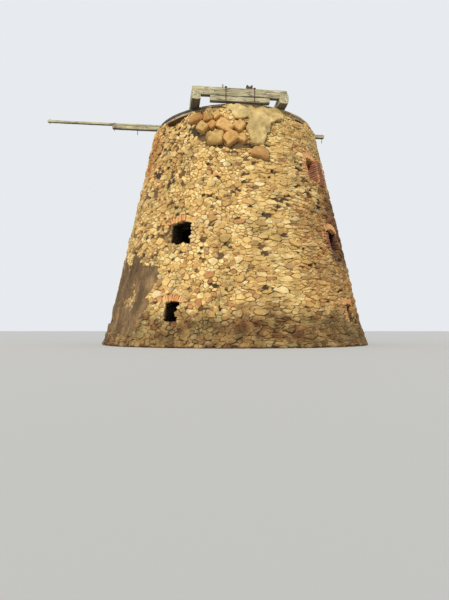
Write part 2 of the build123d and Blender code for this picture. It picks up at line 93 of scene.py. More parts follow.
# %% [markdown]
# Shader trees and geometry trees are both built from the same few moves: make a node, set its
# options, and feed its inputs. Much of a tree is plain arithmetic, one node to a sum. So a node's
# output is kept here as a wire, and a sum written with wires adds the nodes that work it out. That
# keeps every later tree short enough to read. Nodes are added to the tree in hand, which is the last
# one started.

# %% Node helpers
def titled(feeds):
    """Feeds under the names of their sockets, from names written small."""
    return {name.replace("_", " ").title(): feed for name, feed in feeds.items()}


def add(kind, feeds=None, **settings):
    """Adds a node to the tree in hand, and feeds its inputs by name or by place among those in use."""
    node = tree.nodes.new(kind)
    for name, value in settings.items():
        setattr(node, name, value)
    in_use = [socket for socket in node.inputs if socket.enabled]
    for key, feed in (feeds or {}).items():
        socket = in_use[key] if isinstance(key, int) else next(s for s in in_use if s.name == key)
        for one in feed if isinstance(feed, list) else [feed]:
            if isinstance(one, Wire):
                tree.links.new(one.socket, socket)
            else:
                socket.default_value = one
    return Wire(next((socket for socket in node.outputs if socket.enabled), None))


def is_vector(feed):
    return isinstance(feed, tuple) or isinstance(feed, Wire) and feed.socket.type in ("VECTOR", "RGBA")


def calc(operation, *feeds):
    """A number worked out from numbers, or a vector from vectors. A vector times a number is scaled."""
    vectors = [is_vector(feed) for feed in feeds]
    if operation == "MULTIPLY" and vectors == [True, False]:
        operation = "SCALE"
    kind = "ShaderNodeVectorMath" if any(vectors) else "ShaderNodeMath"
    return add(kind, dict(enumerate(feeds)), operation=operation)


def as_sum(operation, swapped=False):
    return lambda self, other: calc(operation, *((other, self) if swapped else (self, other)))


def as_test(operation, kind="FunctionNodeCompare"):
    return lambda self, other: add(kind, {0: self, 1: other}, operation=operation)


def as_part(axis):
    return property(lambda self: add("ShaderNodeSeparateXYZ", {0: self})[axis])


class Wire:
    """What a node puts out: its first output, or another one by name."""

    def __init__(self, socket):
        self.socket = socket

    def __getitem__(self, name):
        return Wire(self.socket.node.outputs[name])

    def __neg__(self):
        return self * -1.0

    def __abs__(self):
        return calc("ABSOLUTE", self)

    __add__ = __radd__ = as_sum("ADD")
    __sub__, __rsub__ = as_sum("SUBTRACT"), as_sum("SUBTRACT", swapped=True)
    __mul__ = __rmul__ = as_sum("MULTIPLY")
    __truediv__, __rtruediv__ = as_sum("DIVIDE"), as_sum("DIVIDE", swapped=True)
    __pow__ = as_sum("POWER")
    __gt__, __lt__, __ge__ = as_test("GREATER_THAN"), as_test("LESS_THAN"), as_test("GREATER_EQUAL")
    __or__, nand = as_test("OR", "FunctionNodeBooleanMath"), as_test("NAND", "FunctionNodeBooleanMath")
    x, y, z = as_part("X"), as_part("Y"), as_part("Z")


def vector_of(x, y, z):
    return add("ShaderNodeCombineXYZ", {0: x, 1: y, 2: z})


def between(value, low, high):
    """0 up to low, 1 from high, and smooth between them."""
    return add("ShaderNodeMapRange", {0: value, 1: low, 2: high}, interpolation_type="SMOOTHSTEP")


def noise_value(place, scale, detail=4.0, roughness=0.6):
    return add("ShaderNodeTexNoise", {"Vector": place, "Scale": scale, "Detail": detail, "Roughness": roughness})


def new_group(name, inputs, *outputs):
    """Takes a new group in hand. An input has a socket type, or a number to start from. Returns it and its inputs."""
    global tree
    of_geometry = outputs == ("Geometry",)
    tree = bpy.data.node_groups.new(name, "GeometryNodeTree" if of_geometry else "ShaderNodeTree")
    for label, value in inputs.items():
        kind = value if isinstance(value, str) else "Int" if isinstance(value, int) else "Float"
        socket = tree.interface.new_socket(name=label, in_out="INPUT", socket_type="NodeSocket" + kind)
        if kind != value:
            socket.default_value = value
    for label in outputs:
        kind = "NodeSocketGeometry" if of_geometry else "NodeSocketFloat"
        tree.interface.new_socket(name=label, in_out="OUTPUT", socket_type=kind)
    return tree, add("NodeGroupInput")


def use_group(group, **values):
    return add("ShaderNodeGroup", titled(values), node_tree=group)

# %% [markdown]
# A plain pale floor and one broad lamp are enough to judge a shape. The lamp stands to the left
# of the camera, so the courses of stone throw short shadows and the right edge of the tower turns
# away from the light. A sun lamp with a wide angle is used because its strength doesn't change
# over a tower eight metres tall. The background is the world's colour, seen only by camera rays and
# by those that gloss or glass sends on.

# %% Floor, world and lamp
SUN_AZIMUTH = math.radians(-17)
SUN_HEIGHT = math.radians(34)
SUN_STRENGTH = 2.75
SUN_SOFTNESS = math.radians(5)
SKY_STRENGTH = 0.38
PALE = (0.80, 0.83, 0.86, 1)
FLOOR_PALE = (0.62, 0.62, 0.60, 1)
FLOOR_REACH = 200

scene.view_settings.view_transform = "Standard"
scene.world = bpy.data.worlds.new("studio")
scene.world.use_nodes = True
tree = scene.world.node_tree
tree.nodes.clear()
path = add("ShaderNodeLightPath")
seen = calc("MAXIMUM", path["Is Camera Ray"], path["Is Glossy Ray"])
seen = calc("MAXIMUM", seen, path["Is Transmission Ray"])
light = add("ShaderNodeBackground", {"Color": (1, 1, 1, 1), "Strength": SKY_STRENGTH})
backdrop = add("ShaderNodeBackground", {"Color": PALE, "Strength": 1})
add("ShaderNodeOutputWorld", {"Surface": add("ShaderNodeMixShader", {0: seen, 1: light, 2: backdrop})})

lamp = linked("sun", bpy.data.lights.new("sun", "SUN"))
lamp.data.energy = SUN_STRENGTH
lamp.data.angle = SUN_SOFTNESS
lamp.rotation_euler = math.pi / 2 - SUN_HEIGHT, 0, SUN_AZIMUTH


def new_material(name):
    """Takes a new material and its tree in hand. Returns the place on the object."""
    global tree, material
    material = bpy.data.materials.new(name)
    material.use_nodes = True
    tree = material.node_tree
    tree.nodes.clear()
    return add("ShaderNodeTexCoord")["Object"]


def end_material(**feeds):
    """Ends the material in hand with its shader, and returns it."""
    add("ShaderNodeOutputMaterial", {"Surface": add("ShaderNodeBsdfPrincipled", titled(feeds))})
    return material


floor_mesh = bpy.data.meshes.new("studio_floor")
floor_mesh.from_pydata([(x * FLOOR_REACH, y * FLOOR_REACH, 0) for x, y in ((-1, -1), (1, -1), (1, 1), (-1, 1))],
                       [], [(0, 1, 2, 3)])
new_material("studio_floor")
floor_mesh.materials.append(end_material(base_color=FLOOR_PALE, roughness=0.9))
linked("studio_floor", floor_mesh)

# %% [markdown]
# Every weathered finish here needs the same three things: broad stains left by rain, fine grit that
# catches the light, and a thin growth of moss where water lies. Each is a shader group that puts out
# only a mask or a height, so one group serves stone, brick and timber at different settings.

# %% Shared shader groups
stain_group, given = new_group("Rain Stain", {"Vector": "Vector", "Size": 1.0, "Cover": 0.5, "Streak": 1.0}, "Mask")
stain = noise_value(given["Vector"] * vector_of(1.0, 1.0, given["Streak"]), 1.0 / given["Size"])
stain_low = (1.0 - given["Cover"]) * 0.5 + 0.2
add("NodeGroupOutput", {"Mask": between(stain, stain_low, stain_low + 0.14)})

grit_group, given = new_group("Grit", {"Vector": "Vector", "Size": 0.03, "Pits": 0.4}, "Height", "Shade")
fineness = 1.0 / given["Size"]
grains = noise_value(given["Vector"], fineness, 6.0, 0.7)
cells = add("ShaderNodeTexVoronoi", {"Vector": given["Vector"], "Scale": fineness * 1.7})
pits = between(cells["Distance"], 0.0, 0.35) * given["Pits"]
add("NodeGroupOutput", {"Height": grains + pits, "Shade": grains})

moss_group, given = new_group("Moss", {"Vector": "Vector", "Cover": 0.3, "Size": 0.4, "Upward": 0.5}, "Mask")
facing = add("ShaderNodeNewGeometry")["Normal"].z
wanted = noise_value(given["Vector"], 1.0 / given["Size"], 7.0, 0.65) + facing * given["Upward"]
moss_edge = 1.0 - given["Cover"]
add("NodeGroupOutput", {"Mask": between(wanted, moss_edge * 0.8, moss_edge)})
print("shader groups:", [group.name for group in bpy.data.node_groups])

# %% [markdown]
# A finish is then a few layers of colour over each other. A colour is written as it is picked on a
# screen, three numbers from 0 to 255. Four numbers are a factor for each channel, to darken with.

# %% Layers of colour
GRIT_DARK = (0.66, 0.62, 0.58, 1)
GRIT_LIGHT = (1.04, 1.03, 1.0, 1)
WARM_LIGHT = (1.05, 1.03, 1.0, 1)


def tint(colour):
    """A colour picked on a screen as the linear values a shader wants. Wires and factors pass as they are."""
    if isinstance(colour, Wire) or len(colour) == 4:
        return colour
    parts = [part / 255 for part in colour]
    return (*(part / 12.92 if part <= 0.04045 else ((part + 0.055) / 1.055) ** 2.4 for part in parts), 1)


def ramp(factor, *stops):
    """A colour ramp from (place, colour) stops."""
    made = add("ShaderNodeValToRGB", {"Fac": factor})
    elements = made.socket.node.color_ramp.elements
    while len(elements) < len(stops):
        elements.new(0.5)
    for element, (place, colour) in zip(elements, stops):
        element.position = place
        element.color = tint(colour)
    return made


def blend(factor, under, over, how="MIX"):
    """One colour laid over another through a mask."""
    return add("ShaderNodeMix", {0: factor, 1: tint(under), 2: tint(over)}, data_type="RGBA", blend_type=how)


def stained(colour, place, share, stain, size, streak=1.0, cover=0.5):
    """Broad stains, which run down the wall where the streak is under 1."""
    return blend(use_group(stain_group, vector=place, size=size, cover=cover, streak=streak) * share, colour, stain)


def mossy(colour, place, share, moss, cover, size, upward):
    return blend(use_group(moss_group, vector=place, cover=cover, size=size, upward=upward) * share, colour, moss)


def grit_of(place, size, pits):
    return use_group(grit_group, vector=place, size=size, pits=pits)


def gritty(colour, grit, dark=GRIT_DARK, light=GRIT_LIGHT):
    return blend(0.8, colour, ramp(grit["Shade"], (0.3, dark), (0.6, light)), "MULTIPLY")


def bump(height, depth, strength=0.9):
    return add("ShaderNodeBump", {"Height": height, "Distance": depth, "Strength": strength})


def own_values():
    """The three random values that each stone or brick carries."""
    return add("ShaderNodeAttribute", attribute_name="stone")["Vector"]

# %% [markdown]
# The tower is a cone that flares a little at its foot. Its measures are those of the frame, and the
# finishes and the layout of the stones need them too. Pieces are made from edited meshes, and each
# says what it rides on, which finish it takes and which nodes of the frame it stands for.

# %% Shape of the tower
FOOT_RADIUS = 4.56
CONE_FOOT_RADIUS = 4.46
HEAD_RADIUS = 2.84
HEAD_HEIGHT = 7.38
FLARE_HEIGHT = 0.7
MEAN_RADIUS = 3.7
BATTER = (CONE_FOOT_RADIUS - HEAD_RADIUS) / HEAD_HEIGHT
FLARE = (FOOT_RADIUS - CONE_FOOT_RADIUS) / FLARE_HEIGHT + BATTER
FIRST_LEDGE = 2.215
SECOND_LEDGE = 4.515
SAME_PLACE = 1e-5


def face_radius(height):
    """Outer radius of the wall at a height."""
    return max(CONE_FOOT_RADIUS - BATTER * height, FOOT_RADIUS - FLARE * height)


def azimuth_of(point):
    """How far round the tower a point is, from the front towards the right."""
    return math.atan2(point.x, -point.y)


def middle_of(points):
    return sum(points, Vector()) / len(points)


def tilted(angle):
    """A turn in the plane of the wall."""
    return Matrix.Rotation(angle, 4, "Y")


def as_object(name, mesh):
    """The object made from an edited mesh."""
    data = bpy.data.meshes.new(name)
    mesh.to_mesh(data)
    mesh.free()
    return linked(name, data)


def merged(sources):
    """An edited mesh out of copies of several objects."""
    mesh = bmesh.new()
    for source in sources:
        mesh.from_mesh(source.data)
    bmesh.ops.remove_doubles(mesh, verts=mesh.verts, dist=SAME_PLACE)
    return mesh


def joined_copy(name, nodes, pieces=()):
    """One mesh object out of copies of several frame nodes and pieces."""
    return as_object(name, merged([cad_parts[node] for node in nodes] + list(pieces)))


def loose_parts(node):
    """The corners of each loose part of a frame node."""
    mesh = merged([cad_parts[node]])
    seen, parts = set(), []
    for first in mesh.verts:
        if first in seen:
            continue
        part, todo = [], [first]
        seen.add(first)
        while todo:
            vert = todo.pop()
            part.append(vert.co.copy())
            fresh = [edge.other_vert(vert) for edge in vert.link_edges if edge.other_vert(vert) not in seen]
            seen.update(fresh)
            todo += fresh
        parts.append(part)
    mesh.free()
    return parts


def finished(piece, slot, *nodes):
    """Says what a piece rides on and the nodes it stands for, and prints its size. Its slot is not used."""
    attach(piece, "root")
    if nodes:
        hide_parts(*nodes)
    print(piece.name, sum(len(face.vertices) - 2 for face in piece.data.polygons), "triangles")
    return piece


def laid_piece(name, slot, material, add_one, lay):
    """A piece of bricks or blocks: lay gives their places and sizes in turn, and add_one makes each."""
    mesh = bmesh.new()
    layer = mesh.faces.layers.float_vector.new("stone")
    draw = random.Random(name)
    for one in lay(draw):
        add_one(mesh, layer, draw, *one)
    piece = as_object(name, mesh)
    piece.data.materials.append(material)
    return finished(piece, slot)

# %% [markdown]
# The builders of the tower closed each opening with a low arch of bricks on edge, and mended or edged
# some jambs with bricks too. A few loose ones were also used up in the rubble round the openings. Each
# brick is a block with blunted edges, set on the face of the wall and turned by its place in the arch.
# They are laid before the rubble, because the rubble has to leave room for them.

# %% Worn bricks
# An opening is its azimuth in degrees, and its width, sill, tallness and rise of arch
LOW, MIDDLE, UPPER = (0.45, 0.74, 0.54, 0.045), (0.68, 3.01, 0.64, 0.08), (0.52, 5.28, 0.7, 0.06)
OPENINGS = [
    (-25, *LOW), (58, *LOW), (155, 0.95, 0.12, 1.6, 0.15), (238, *LOW),
    (-25, *MIDDLE), (58, *MIDDLE), (155, *MIDDLE), (238, *MIDDLE), (50, *UPPER), (155, *UPPER),
]
OUT_OF_VIEW = 90
ARCH_TALL = 0.21
BRICK_PITCH = 0.072
JOINT_WIDTH = 0.012
BRICK_DEPTH = 0.14
BRICK_PROUD = 0.052
BRICK_BLUNT = 0.009
BRICK_CHIP = 0.005
BRICK_SHIFT = 0.012
STRETCHER, HEADER = 0.25, 0.125
SINGLE_BOND = (HEADER,), (STRETCHER,)
DOUBLE_BOND = (STRETCHER, HEADER), (HEADER, STRETCHER)
LOOSE_BRICKS = 7
INSET = 0.015
PROUD_JAMB = 0.155
LOST_SHARE = 0.2


def wall_frame(azimuth, height, proud=0.0):
    """A frame on the wall: X runs round it, Y points into it and Z runs up its batter."""
    slope = FLARE if height < FLARE_HEIGHT else BATTER
    along = Vector((math.cos(azimuth), math.sin(azimuth), 0))
    outward = Vector((math.sin(azimuth), -math.cos(azimuth), 0))
    up = (Vector((0, 0, 1)) - outward * slope).normalized()
    turn = Matrix((along, up.cross(along), up)).transposed().to_4x4()
    return Matrix.Translation(outward * (face_radius(height) + proud) + Vector((0, 0, height))) @ turn


def beside(azimuth, across, height, proud, tilt):
    """A tilted frame on the wall, some way across from an azimuth."""
    return wall_frame(azimuth + across / face_radius(height), height, proud) @ tilted(tilt)


def add_brick(mesh, layer, draw, place, size, tone):
    """One blunted, chipped brick whose front is on the frame's plane."""
    wide, deep, tall = size
    shape = place @ Matrix.Translation((0, deep / 2, 0)) @ Matrix.Diagonal((wide, deep, tall, 1))
    made = bmesh.ops.create_cube(mesh, size=1, matrix=shape)["verts"]
    edges = list(dict.fromkeys(edge for vert in made for edge in vert.link_edges))
    faces = bmesh.ops.bevel(mesh, geom=edges, offset=BRICK_BLUNT, segments=1, affect="EDGES")["faces"]
    own = Vector((tone + draw.uniform(-0.15, 0.15), draw.random(), draw.random()))
    for vert in dict.fromkeys(vert for face in faces for vert in face.verts):
        vert.co += Vector(draw.uniform(-BRICK_CHIP, BRICK_CHIP) for _ in range(3))
        for face in vert.link_faces:
            face[layer] = own


def lay_arch(draw, azimuth, width, spring, rise):
    """Bricks on edge over an opening, fanned along its low arch. Some are lost."""
    half = width / 2
    radius = (half ** 2 + rise ** 2) / (2 * rise)
    centre = spring + rise - radius
    lean = math.asin(half / radius) + BRICK_PITCH / radius
    middle = radius + ARCH_TALL / 2
    count = round(2 * lean * middle / BRICK_PITCH)
    for number in range(count):
        turn = lean * ((2 * number + 1) / count - 1)
        if draw.random() < LOST_SHARE:
            continue
        place = beside(azimuth, middle * math.sin(turn), centre + middle * math.cos(turn),
                       BRICK_PROUD + draw.uniform(-BRICK_SHIFT, BRICK_SHIFT), turn + draw.uniform(-0.04, 0.04))
        yield place, (BRICK_PITCH - JOINT_WIDTH, BRICK_DEPTH, ARCH_TALL * draw.uniform(0.85, 1.05)), 0.85


def lay_loose(draw, azimuth, width, sill, high):
    """Odd bricks used up in the rubble beside and over an opening."""
    for _ in range(LOOSE_BRICKS):
        across = draw.choice((-1, -1, 1)) * (width / 2 + draw.uniform(0.12, 0.42))
        height = draw.uniform(sill + 0.2, high + 0.25)
        place = beside(azimuth, across, height, BRICK_PROUD, draw.uniform(-0.3, 0.3))
        yield place, (draw.uniform(0.08, 0.2), BRICK_DEPTH, BRICK_PITCH - JOINT_WIDTH), 0.75


def lay_arches(draw):
    for azimuth, width, sill, tall, rise in OPENINGS:
        turn = math.radians(azimuth)
        yield from lay_arch(draw, turn, width, sill + tall, rise)
        if azimuth < OUT_OF_VIEW:
            yield from lay_loose(draw, turn, width, sill, sill + tall + rise)


def lay_jamb(draw, opening, side, inset, past, proud, deep, tone, bond=SINGLE_BOND):
    """Courses of bricks up one side of an opening, headers and stretchers by turns."""
    azimuth, width, sill, tall, _ = OPENINGS[opening]
    low, high = sill - past, sill + tall + past
    for course in range(int((high - low) / BRICK_PITCH)):
        height = low + (course + 0.5) * BRICK_PITCH
        reach = width / 2 - inset
        for length in bond[course % 2]:
            across = side * (reach + length / 2)
            reach += length
            stand = proud + draw.uniform(-BRICK_SHIFT, BRICK_SHIFT)
            place = beside(math.radians(azimuth), across, height, stand, draw.uniform(-0.03, 0.03))
            yield place, (length * draw.uniform(0.94, 1.0) - JOINT_WIDTH, deep, BRICK_PITCH - JOINT_WIDTH), tone


# A jamb is the number of its opening, its side, how far its bricks reach in and past it, how far
# they stand out, their depth and their tone
JAMBS = {
    "near_jamb_bricks": [
        (1, -1, INSET, 0, BRICK_PROUD, STRETCHER, 0.75), (8, -1, INSET, 0, BRICK_PROUD, STRETCHER, 0.75)],
    "middle_jamb_bricks": [(5, -1, INSET, 0, BRICK_PROUD, STRETCHER, 0.3)],
    "proud_jamb_bricks": [(8, 1, 3 * INSET, 0.1, PROUD_JAMB, PROUD_JAMB + STRETCHER, 0.2, DOUBLE_BOND)],
}


def brick_material():
    """Soft hand-made brick: each brick has its own tone, from orange through red to burnt brown."""
    place = new_material("worn_brick")
    own = own_values().x
    colour = ramp(own, (0.0, (124, 74, 58)), (0.25, (152, 92, 68)), (0.5, (182, 116, 78)),
                  (0.75, (220, 146, 90)), (1.0, (236, 184, 120)))
    colour = stained(colour, place, own * 0.7 + 0.1, (226, 190, 128), 0.16)
    grit = grit_of(place, 0.02, 0.6)
    colour = gritty(colour, grit, (0.6, 0.56, 0.54, 1), WARM_LIGHT)
    return end_material(base_color=colour, normal=bump(grit["Height"], 0.005), roughness=0.9)


WORN_BRICK = brick_material()
BRICK_PIECES = [laid_piece("arch_bricks", "brick", WORN_BRICK, add_brick, lay_arches)]
for name, rows in JAMBS.items():
    BRICK_PIECES.append(laid_piece(name, "brick", WORN_BRICK, add_brick, lambda draw: (
        brick for row in rows for brick in lay_jamb(draw, *row))))

# %% [markdown]
# The boulders beside the mortar are squared lumps of sandstone, bedded with hardly a joint between
# them. For each one of the frame, the smallest turned box round its corners gives its place, its size
# and its tilt. A block of that size gets rounded arrises and an uneven face.

# %% Boulders
BLOCK_CUTS = 7
BOULDER_GROWTH = 1.06
BOULDER_SQUAT = 0.93
BOULDER_DEPTH = 0.3, 0.42
LUMP = 0.13


def netted_cube(cuts):
    """The points and faces of a cube from -1 to 1 whose sides are cut into squares."""
    mesh = bmesh.new()
    bmesh.ops.create_cube(mesh, size=2)
    bmesh.ops.subdivide_edges(mesh, edges=mesh.edges, cuts=cuts, use_grid_fill=True)
    mesh.verts.index_update()
    points = [vert.co.copy() for vert in mesh.verts]
    faces = [[vert.index for vert in face.verts] for face in mesh.faces]
    mesh.free()
    return points, faces


NETTED_CUBE = netted_cube(BLOCK_CUTS)


def add_block(mesh, layer, draw, place, size):
    """A roughly squared stone with rounded arrises, centred on a frame: narrower to one side or one end."""
    grain = Vector(draw.uniform(0, 50) for _ in range(3))
    power, wedge, shorter = draw.uniform(4, 9), draw.uniform(-0.22, 0.22), draw.uniform(-0.22, 0.22)
    own = Vector(draw.random() for _ in range(3))
    points, faces = NETTED_CUBE
    corners = []
    for point in points:
        far = max(abs(part) for part in point)
        even = point * (far / sum(abs(part) ** power for part in point) ** (1 / power))
        swell = 1 + LUMP * noise.noise(even * 1.6 + grain) + 0.5 * LUMP * noise.noise(even * 4.5 + grain)
        even = Vector((even.x * (1 + wedge * even.z), even.y, even.z * (1 + shorter * even.x)))
        corners.append(mesh.verts.new(place @ Vector(part * swell * side / 2 for part, side in zip(even, size))))
    for face in faces:
        made = mesh.faces.new([corners[number] for number in face])
        made[layer] = own
        made.smooth = True


def turned_box(corners):
    """The frame, the width and the tallness of the smallest box round some corners, seen square on."""
    middle = middle_of(corners)
    square = wall_frame(azimuth_of(middle), middle.z)
    boxes = []
    for degrees in range(-44, 45, 4):
        turned = square @ tilted(math.radians(degrees))
        back = turned.inverted()
        across, _, up = zip(*(back @ corner for corner in corners))
        shift = Matrix.Translation(((min(across) + max(across)) / 2, 0, (min(up) + max(up)) / 2))
        boxes.append((turned @ shift, max(across) - min(across), max(up) - min(up)))
    return min(boxes, key=lambda box: box[1] * box[2])


def lay_boulders(draw):
    for corners in loose_parts("boulder_course"):
        place, wide, tall = turned_box(corners)
        size = (wide * BOULDER_GROWTH, draw.uniform(*BOULDER_DEPTH), tall * BOULDER_SQUAT)
        yield place @ tilted(draw.uniform(-0.05, 0.05)), size


def boulder_material():
    """Orange and tan sandstone, each boulder with its own tone."""
    place = new_material("boulder_stone")
    tone = ramp(own_values().x, (0.0, (206, 156, 88)), (0.3, (186, 142, 84)), (0.55, (226, 182, 114)),
                (0.8, (212, 166, 98)), (1.0, (212, 176, 108)))
    body = noise_value(place, 5.0, 6.0, 0.7)
    shade = ramp(body, (0.3, (0.66, 0.6, 0.52, 1)), (0.5, (1.0, 0.98, 0.95, 1)), (0.68, (1.22, 1.2, 1.14, 1)))
    colour = stained(blend(1.0, tone, shade, "MULTIPLY"), place, 0.25, (194, 136, 70), 0.3)
    colour = mossy(colour, place, 0.5, (128, 122, 60), 0.3, 0.3, 0.1)
    grit = grit_of(place, 0.03, 0.7)
    colour = gritty(colour, grit, (0.6, 0.56, 0.52, 1), WARM_LIGHT)
    return end_material(base_color=colour, normal=bump(grit["Height"] + body * 1.5, 0.012, 1.0), roughness=0.92)


boulders = laid_piece("dressed_boulders", "boulder", boulder_material(), add_block, lay_boulders)
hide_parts("boulder_course")

# %% [markdown]
# The smeared mortar and the old render are lumpy masses whose place and outline the frame already
# holds. Each is copied, cut into small even cells by a voxel remesh, smoothed, shaken sideways so that
# its edge turns ragged, and then pushed in and out along its own surface by noise. That keeps it where
# the frame says and gives it the broken surface of the real one.

# %% Weathered masses
NOISE_SEED = 5
BROAD_SHAKE = 1.8
FINE_SHAKE = 5.0
noise.seed_set(NOISE_SEED)


def weathered_copy(node, voxel, ragged, swells, slot, material, stretch=(1, 1, 1), widen=1.0):
    """A remeshed, smoothed copy of a frame node, shaken and then pushed out by (size, reach) swells of noise."""
    piece = joined_copy("dressed_" + node, [node])
    remesh = piece.modifiers.new("remesh", "REMESH")
    remesh.mode = "VOXEL"
    remesh.voxel_size = voxel
    fine = bpy.data.meshes.new_from_object(piece.evaluated_get(bpy.context.evaluated_depsgraph_get()))
    piece.modifiers.clear()
    mesh = bmesh.new()
    mesh.from_mesh(fine)
    for _ in range(2):
        bmesh.ops.smooth_vert(mesh, verts=mesh.verts, factor=0.5, use_axis_x=True, use_axis_y=True, use_axis_z=True)
    low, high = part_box(node)
    middle = middle_of([vert.co for vert in mesh.verts])
    for vert in mesh.verts:
        turn = azimuth_of(vert.co) - azimuth_of(middle)
        vert.co.rotate(Euler((0, 0, turn * (widen - 1))))
        shake = noise.noise_vector(vert.co * BROAD_SHAKE) + 0.6 * noise.noise_vector(vert.co * FINE_SHAKE)
        outward = Vector((vert.co.x, vert.co.y, 0)).normalized()
        vert.co += (shake - outward * shake.dot(outward)) * ragged
        vert.co.z = min(vert.co.z, high.z)
    mesh.normal_update()
    for vert in mesh.verts:
        push = 0
        for size, reach in swells:
            push += noise.noise(Vector(part * more / size for part, more in zip(vert.co, stretch))) * reach
        vert.co += vert.normal * push
        vert.co.z = max(vert.co.z, low.z)
    for face in mesh.faces:
        face.smooth = True
    mesh.to_mesh(piece.data)
    mesh.free()
    piece.data.materials.clear()
    piece.data.materials.append(material)
    return finished(piece, slot, node)


def mass_material(name, colours, stain, grit_size, moss_cover, streak=1.0):
    """Rough mortar or render: a noise ramp, a stain, grit and moss."""
    place = new_material(name)
    body = noise_value(place * (1.0, 1.0, streak), 2.6, 6.0, 0.65)
    colour = stained(ramp(body, *zip((0.3, 0.5, 0.68), colours)), place, 0.5, stain, 0.35, streak)
    grit = grit_of(place, grit_size, 0.6)
    colour = mossy(gritty(colour, grit), place, 0.5, (118, 116, 66), moss_cover, 0.3, 0.3)
    return end_material(base_color=colour, normal=bump(grit["Height"], 0.01), roughness=0.93)


SMEARED_MORTAR = mass_material(
    "smeared_mortar", [(164, 130, 76), (214, 182, 116), (236, 212, 152)], (176, 160, 108), 0.03, 0.12)
OLD_RENDER = mass_material("old_render", [(62, 44, 28), (120, 92, 58), (168, 136, 94)], (92, 76, 46), 0.05, 0.2, 0.35)
mortar = weathered_copy(
    "mortar_patch", 0.03, 0.16, [(0.4, 0.05), (0.11, 0.035), (0.05, 0.012)], "mortar", SMEARED_MORTAR)
coat = weathered_copy("old_render_coat", 0.024, 0.24, [(0.35, 0.03), (0.1, 0.04), (0.05, 0.012)],
                      "old_render", OLD_RENDER, stretch=(1, 1, 0.4), widen=1.14)

# %% [markdown]
# The rubble must know what to leave out. Plain copies of the walls, the bricks and the patches serve
# as guides: a stone stays only where there is wall behind it and nothing over it. More guides stand
# where stones have dropped out of the face, and there the mortar stays low and its finish paints it dark
# as shade. A row of them along the lower edge of the boulders paints the boulders' shadow. The guides of
# the patches are drawn in a little, so that stones show through the patches' ragged edges.

# %% Guides for the rubble
WALL_NODES = sorted(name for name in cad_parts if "_wall_" in name or name.endswith("_walls"))
FACING_NODES = sorted(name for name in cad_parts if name.endswith("_facing_stones"))
BRICK_NODES = ["brick_arches", "middle_window_brick_jamb", "upper_window_brick_jamb"]
EDGE_SHARE = 0.92
COVER_MARGIN = 0.035
FALLEN_SEED = 21
FALLEN_DEPTH = 0.3
# A place under the boulders is its azimuth in degrees, its height, width, tallness and tilt. The dark mortar in them
# paints the boulders' shadow.
BOULDER_SHADOW_HOLES = [
    (-20.5, 6.54, 0.66, 0.28, 0.74), (-13, 6.17, 0.36, 0.16, 0.2), (-5.5, 6.09, 0.52, 0.14, 0),
    (2.5, 6.08, 0.42, 0.14, 0.05), (9, 6.05, 0.42, 0.15, 0.25),
]
# A zone is the limits of the azimuth and the height, the count, and the limits of width and tallness
FALLEN_ZONES = [
    ((-82, -26), (2.6, 7.1), 420, (0.04, 0.11), (0.04, 0.1)), ((-60, -5), (1.0, 5.5), 60, (0.05, 0.12), (0.04, 0.08)),
    ((-15, 80), (1.0, 6.2), 160, (0.08, 0.3), (0.025, 0.05)), ((80, 282), (0.8, 7.0), 240, (0.06, 0.2), (0.03, 0.08)),
]


def fallen_guide():
    """Blocks where stones have dropped out of the face: a row along the lower edge of the boulders, where the dark
    mortar paints their shadow, and many small ones.
    """
    draw = random.Random(FALLEN_SEED)
    rows = list(BOULDER_SHADOW_HOLES)
    for azimuths, heights, count, widths, talls in FALLEN_ZONES:
        for _ in range(count):
            rows.append([draw.uniform(*limits) for limits in (azimuths, heights, widths, talls, (-0.3, 0.3))])
    mesh = bmesh.new()
    for azimuth, height, wide, tall, tilt in rows:
        place = wall_frame(math.radians(azimuth), height) @ tilted(tilt)
        bmesh.ops.create_cube(mesh, size=1, matrix=place @ Matrix.Diagonal((wide, FALLEN_DEPTH, tall, 1)))
    return as_object("fallen_guide", mesh)


def drawn_in(guide, share):
    """Draws a patch guide in towards its middle, along the wall, so that stones show through its edges."""
    corners = guide.data.vertices
    middle = middle_of([vert.co for vert in corners])
    centre = azimuth_of(middle)
    for vert in corners:
        azimuth = centre + (azimuth_of(vert.co) - centre) * share
        height = middle.z + (vert.co.z - middle.z) * share
        radius = vert.co.xy.length - face_radius(vert.co.z) + face_radius(height) + COVER_MARGIN
        vert.co = radius * math.sin(azimuth), -radius * math.cos(azimuth), height
    return guide


masonry = joined_copy("masonry_guide", WALL_NODES)
fallen = fallen_guide()
shrunken = [drawn_in(joined_copy(piece.name + "_guide", [], [piece]), EDGE_SHARE) for piece in (mortar, coat)]
patches = joined_copy("patch_guide", BRICK_NODES, shrunken + [boulders])
covering = joined_copy("covering_guide", BRICK_NODES, BRICK_PIECES + shrunken + [boulders, fallen])
print("guides:", len(WALL_NODES), "wall nodes,", len(masonry.data.polygons), "faces")

# %% [markdown]
# The colour of the wall changes with the place. Its foot is brown with splashed earth, one flank is
# rusty, and the other is darkened as painted shade where it turns from the lamp, with a damp stain in
# its darkest streak. Deep in the openings and in the closed lower rooms the wall is darkened as painted
# shade. The stones and the mortar between them share these three layers, so that they change together.

# %% Stone colours
# A flank is the limits of its azimuth and its height, its share and its stain. The first is rust. The other two darken
# the right flank as painted shade where it turns from the lamp, and the first of these is also a damp stain.
FLANK_RUST_AND_SHADE = [
    (math.radians(-58), math.radians(-22), 6.0, 8.6, 0.75, (232, 184, 150)),
    (math.radians(65), math.radians(122), 3.1, 6.6, 0.9, (156, 120, 102)),
    (math.radians(43), math.radians(132), 1.6, 5.8, 0.5, (214, 182, 156)),
]


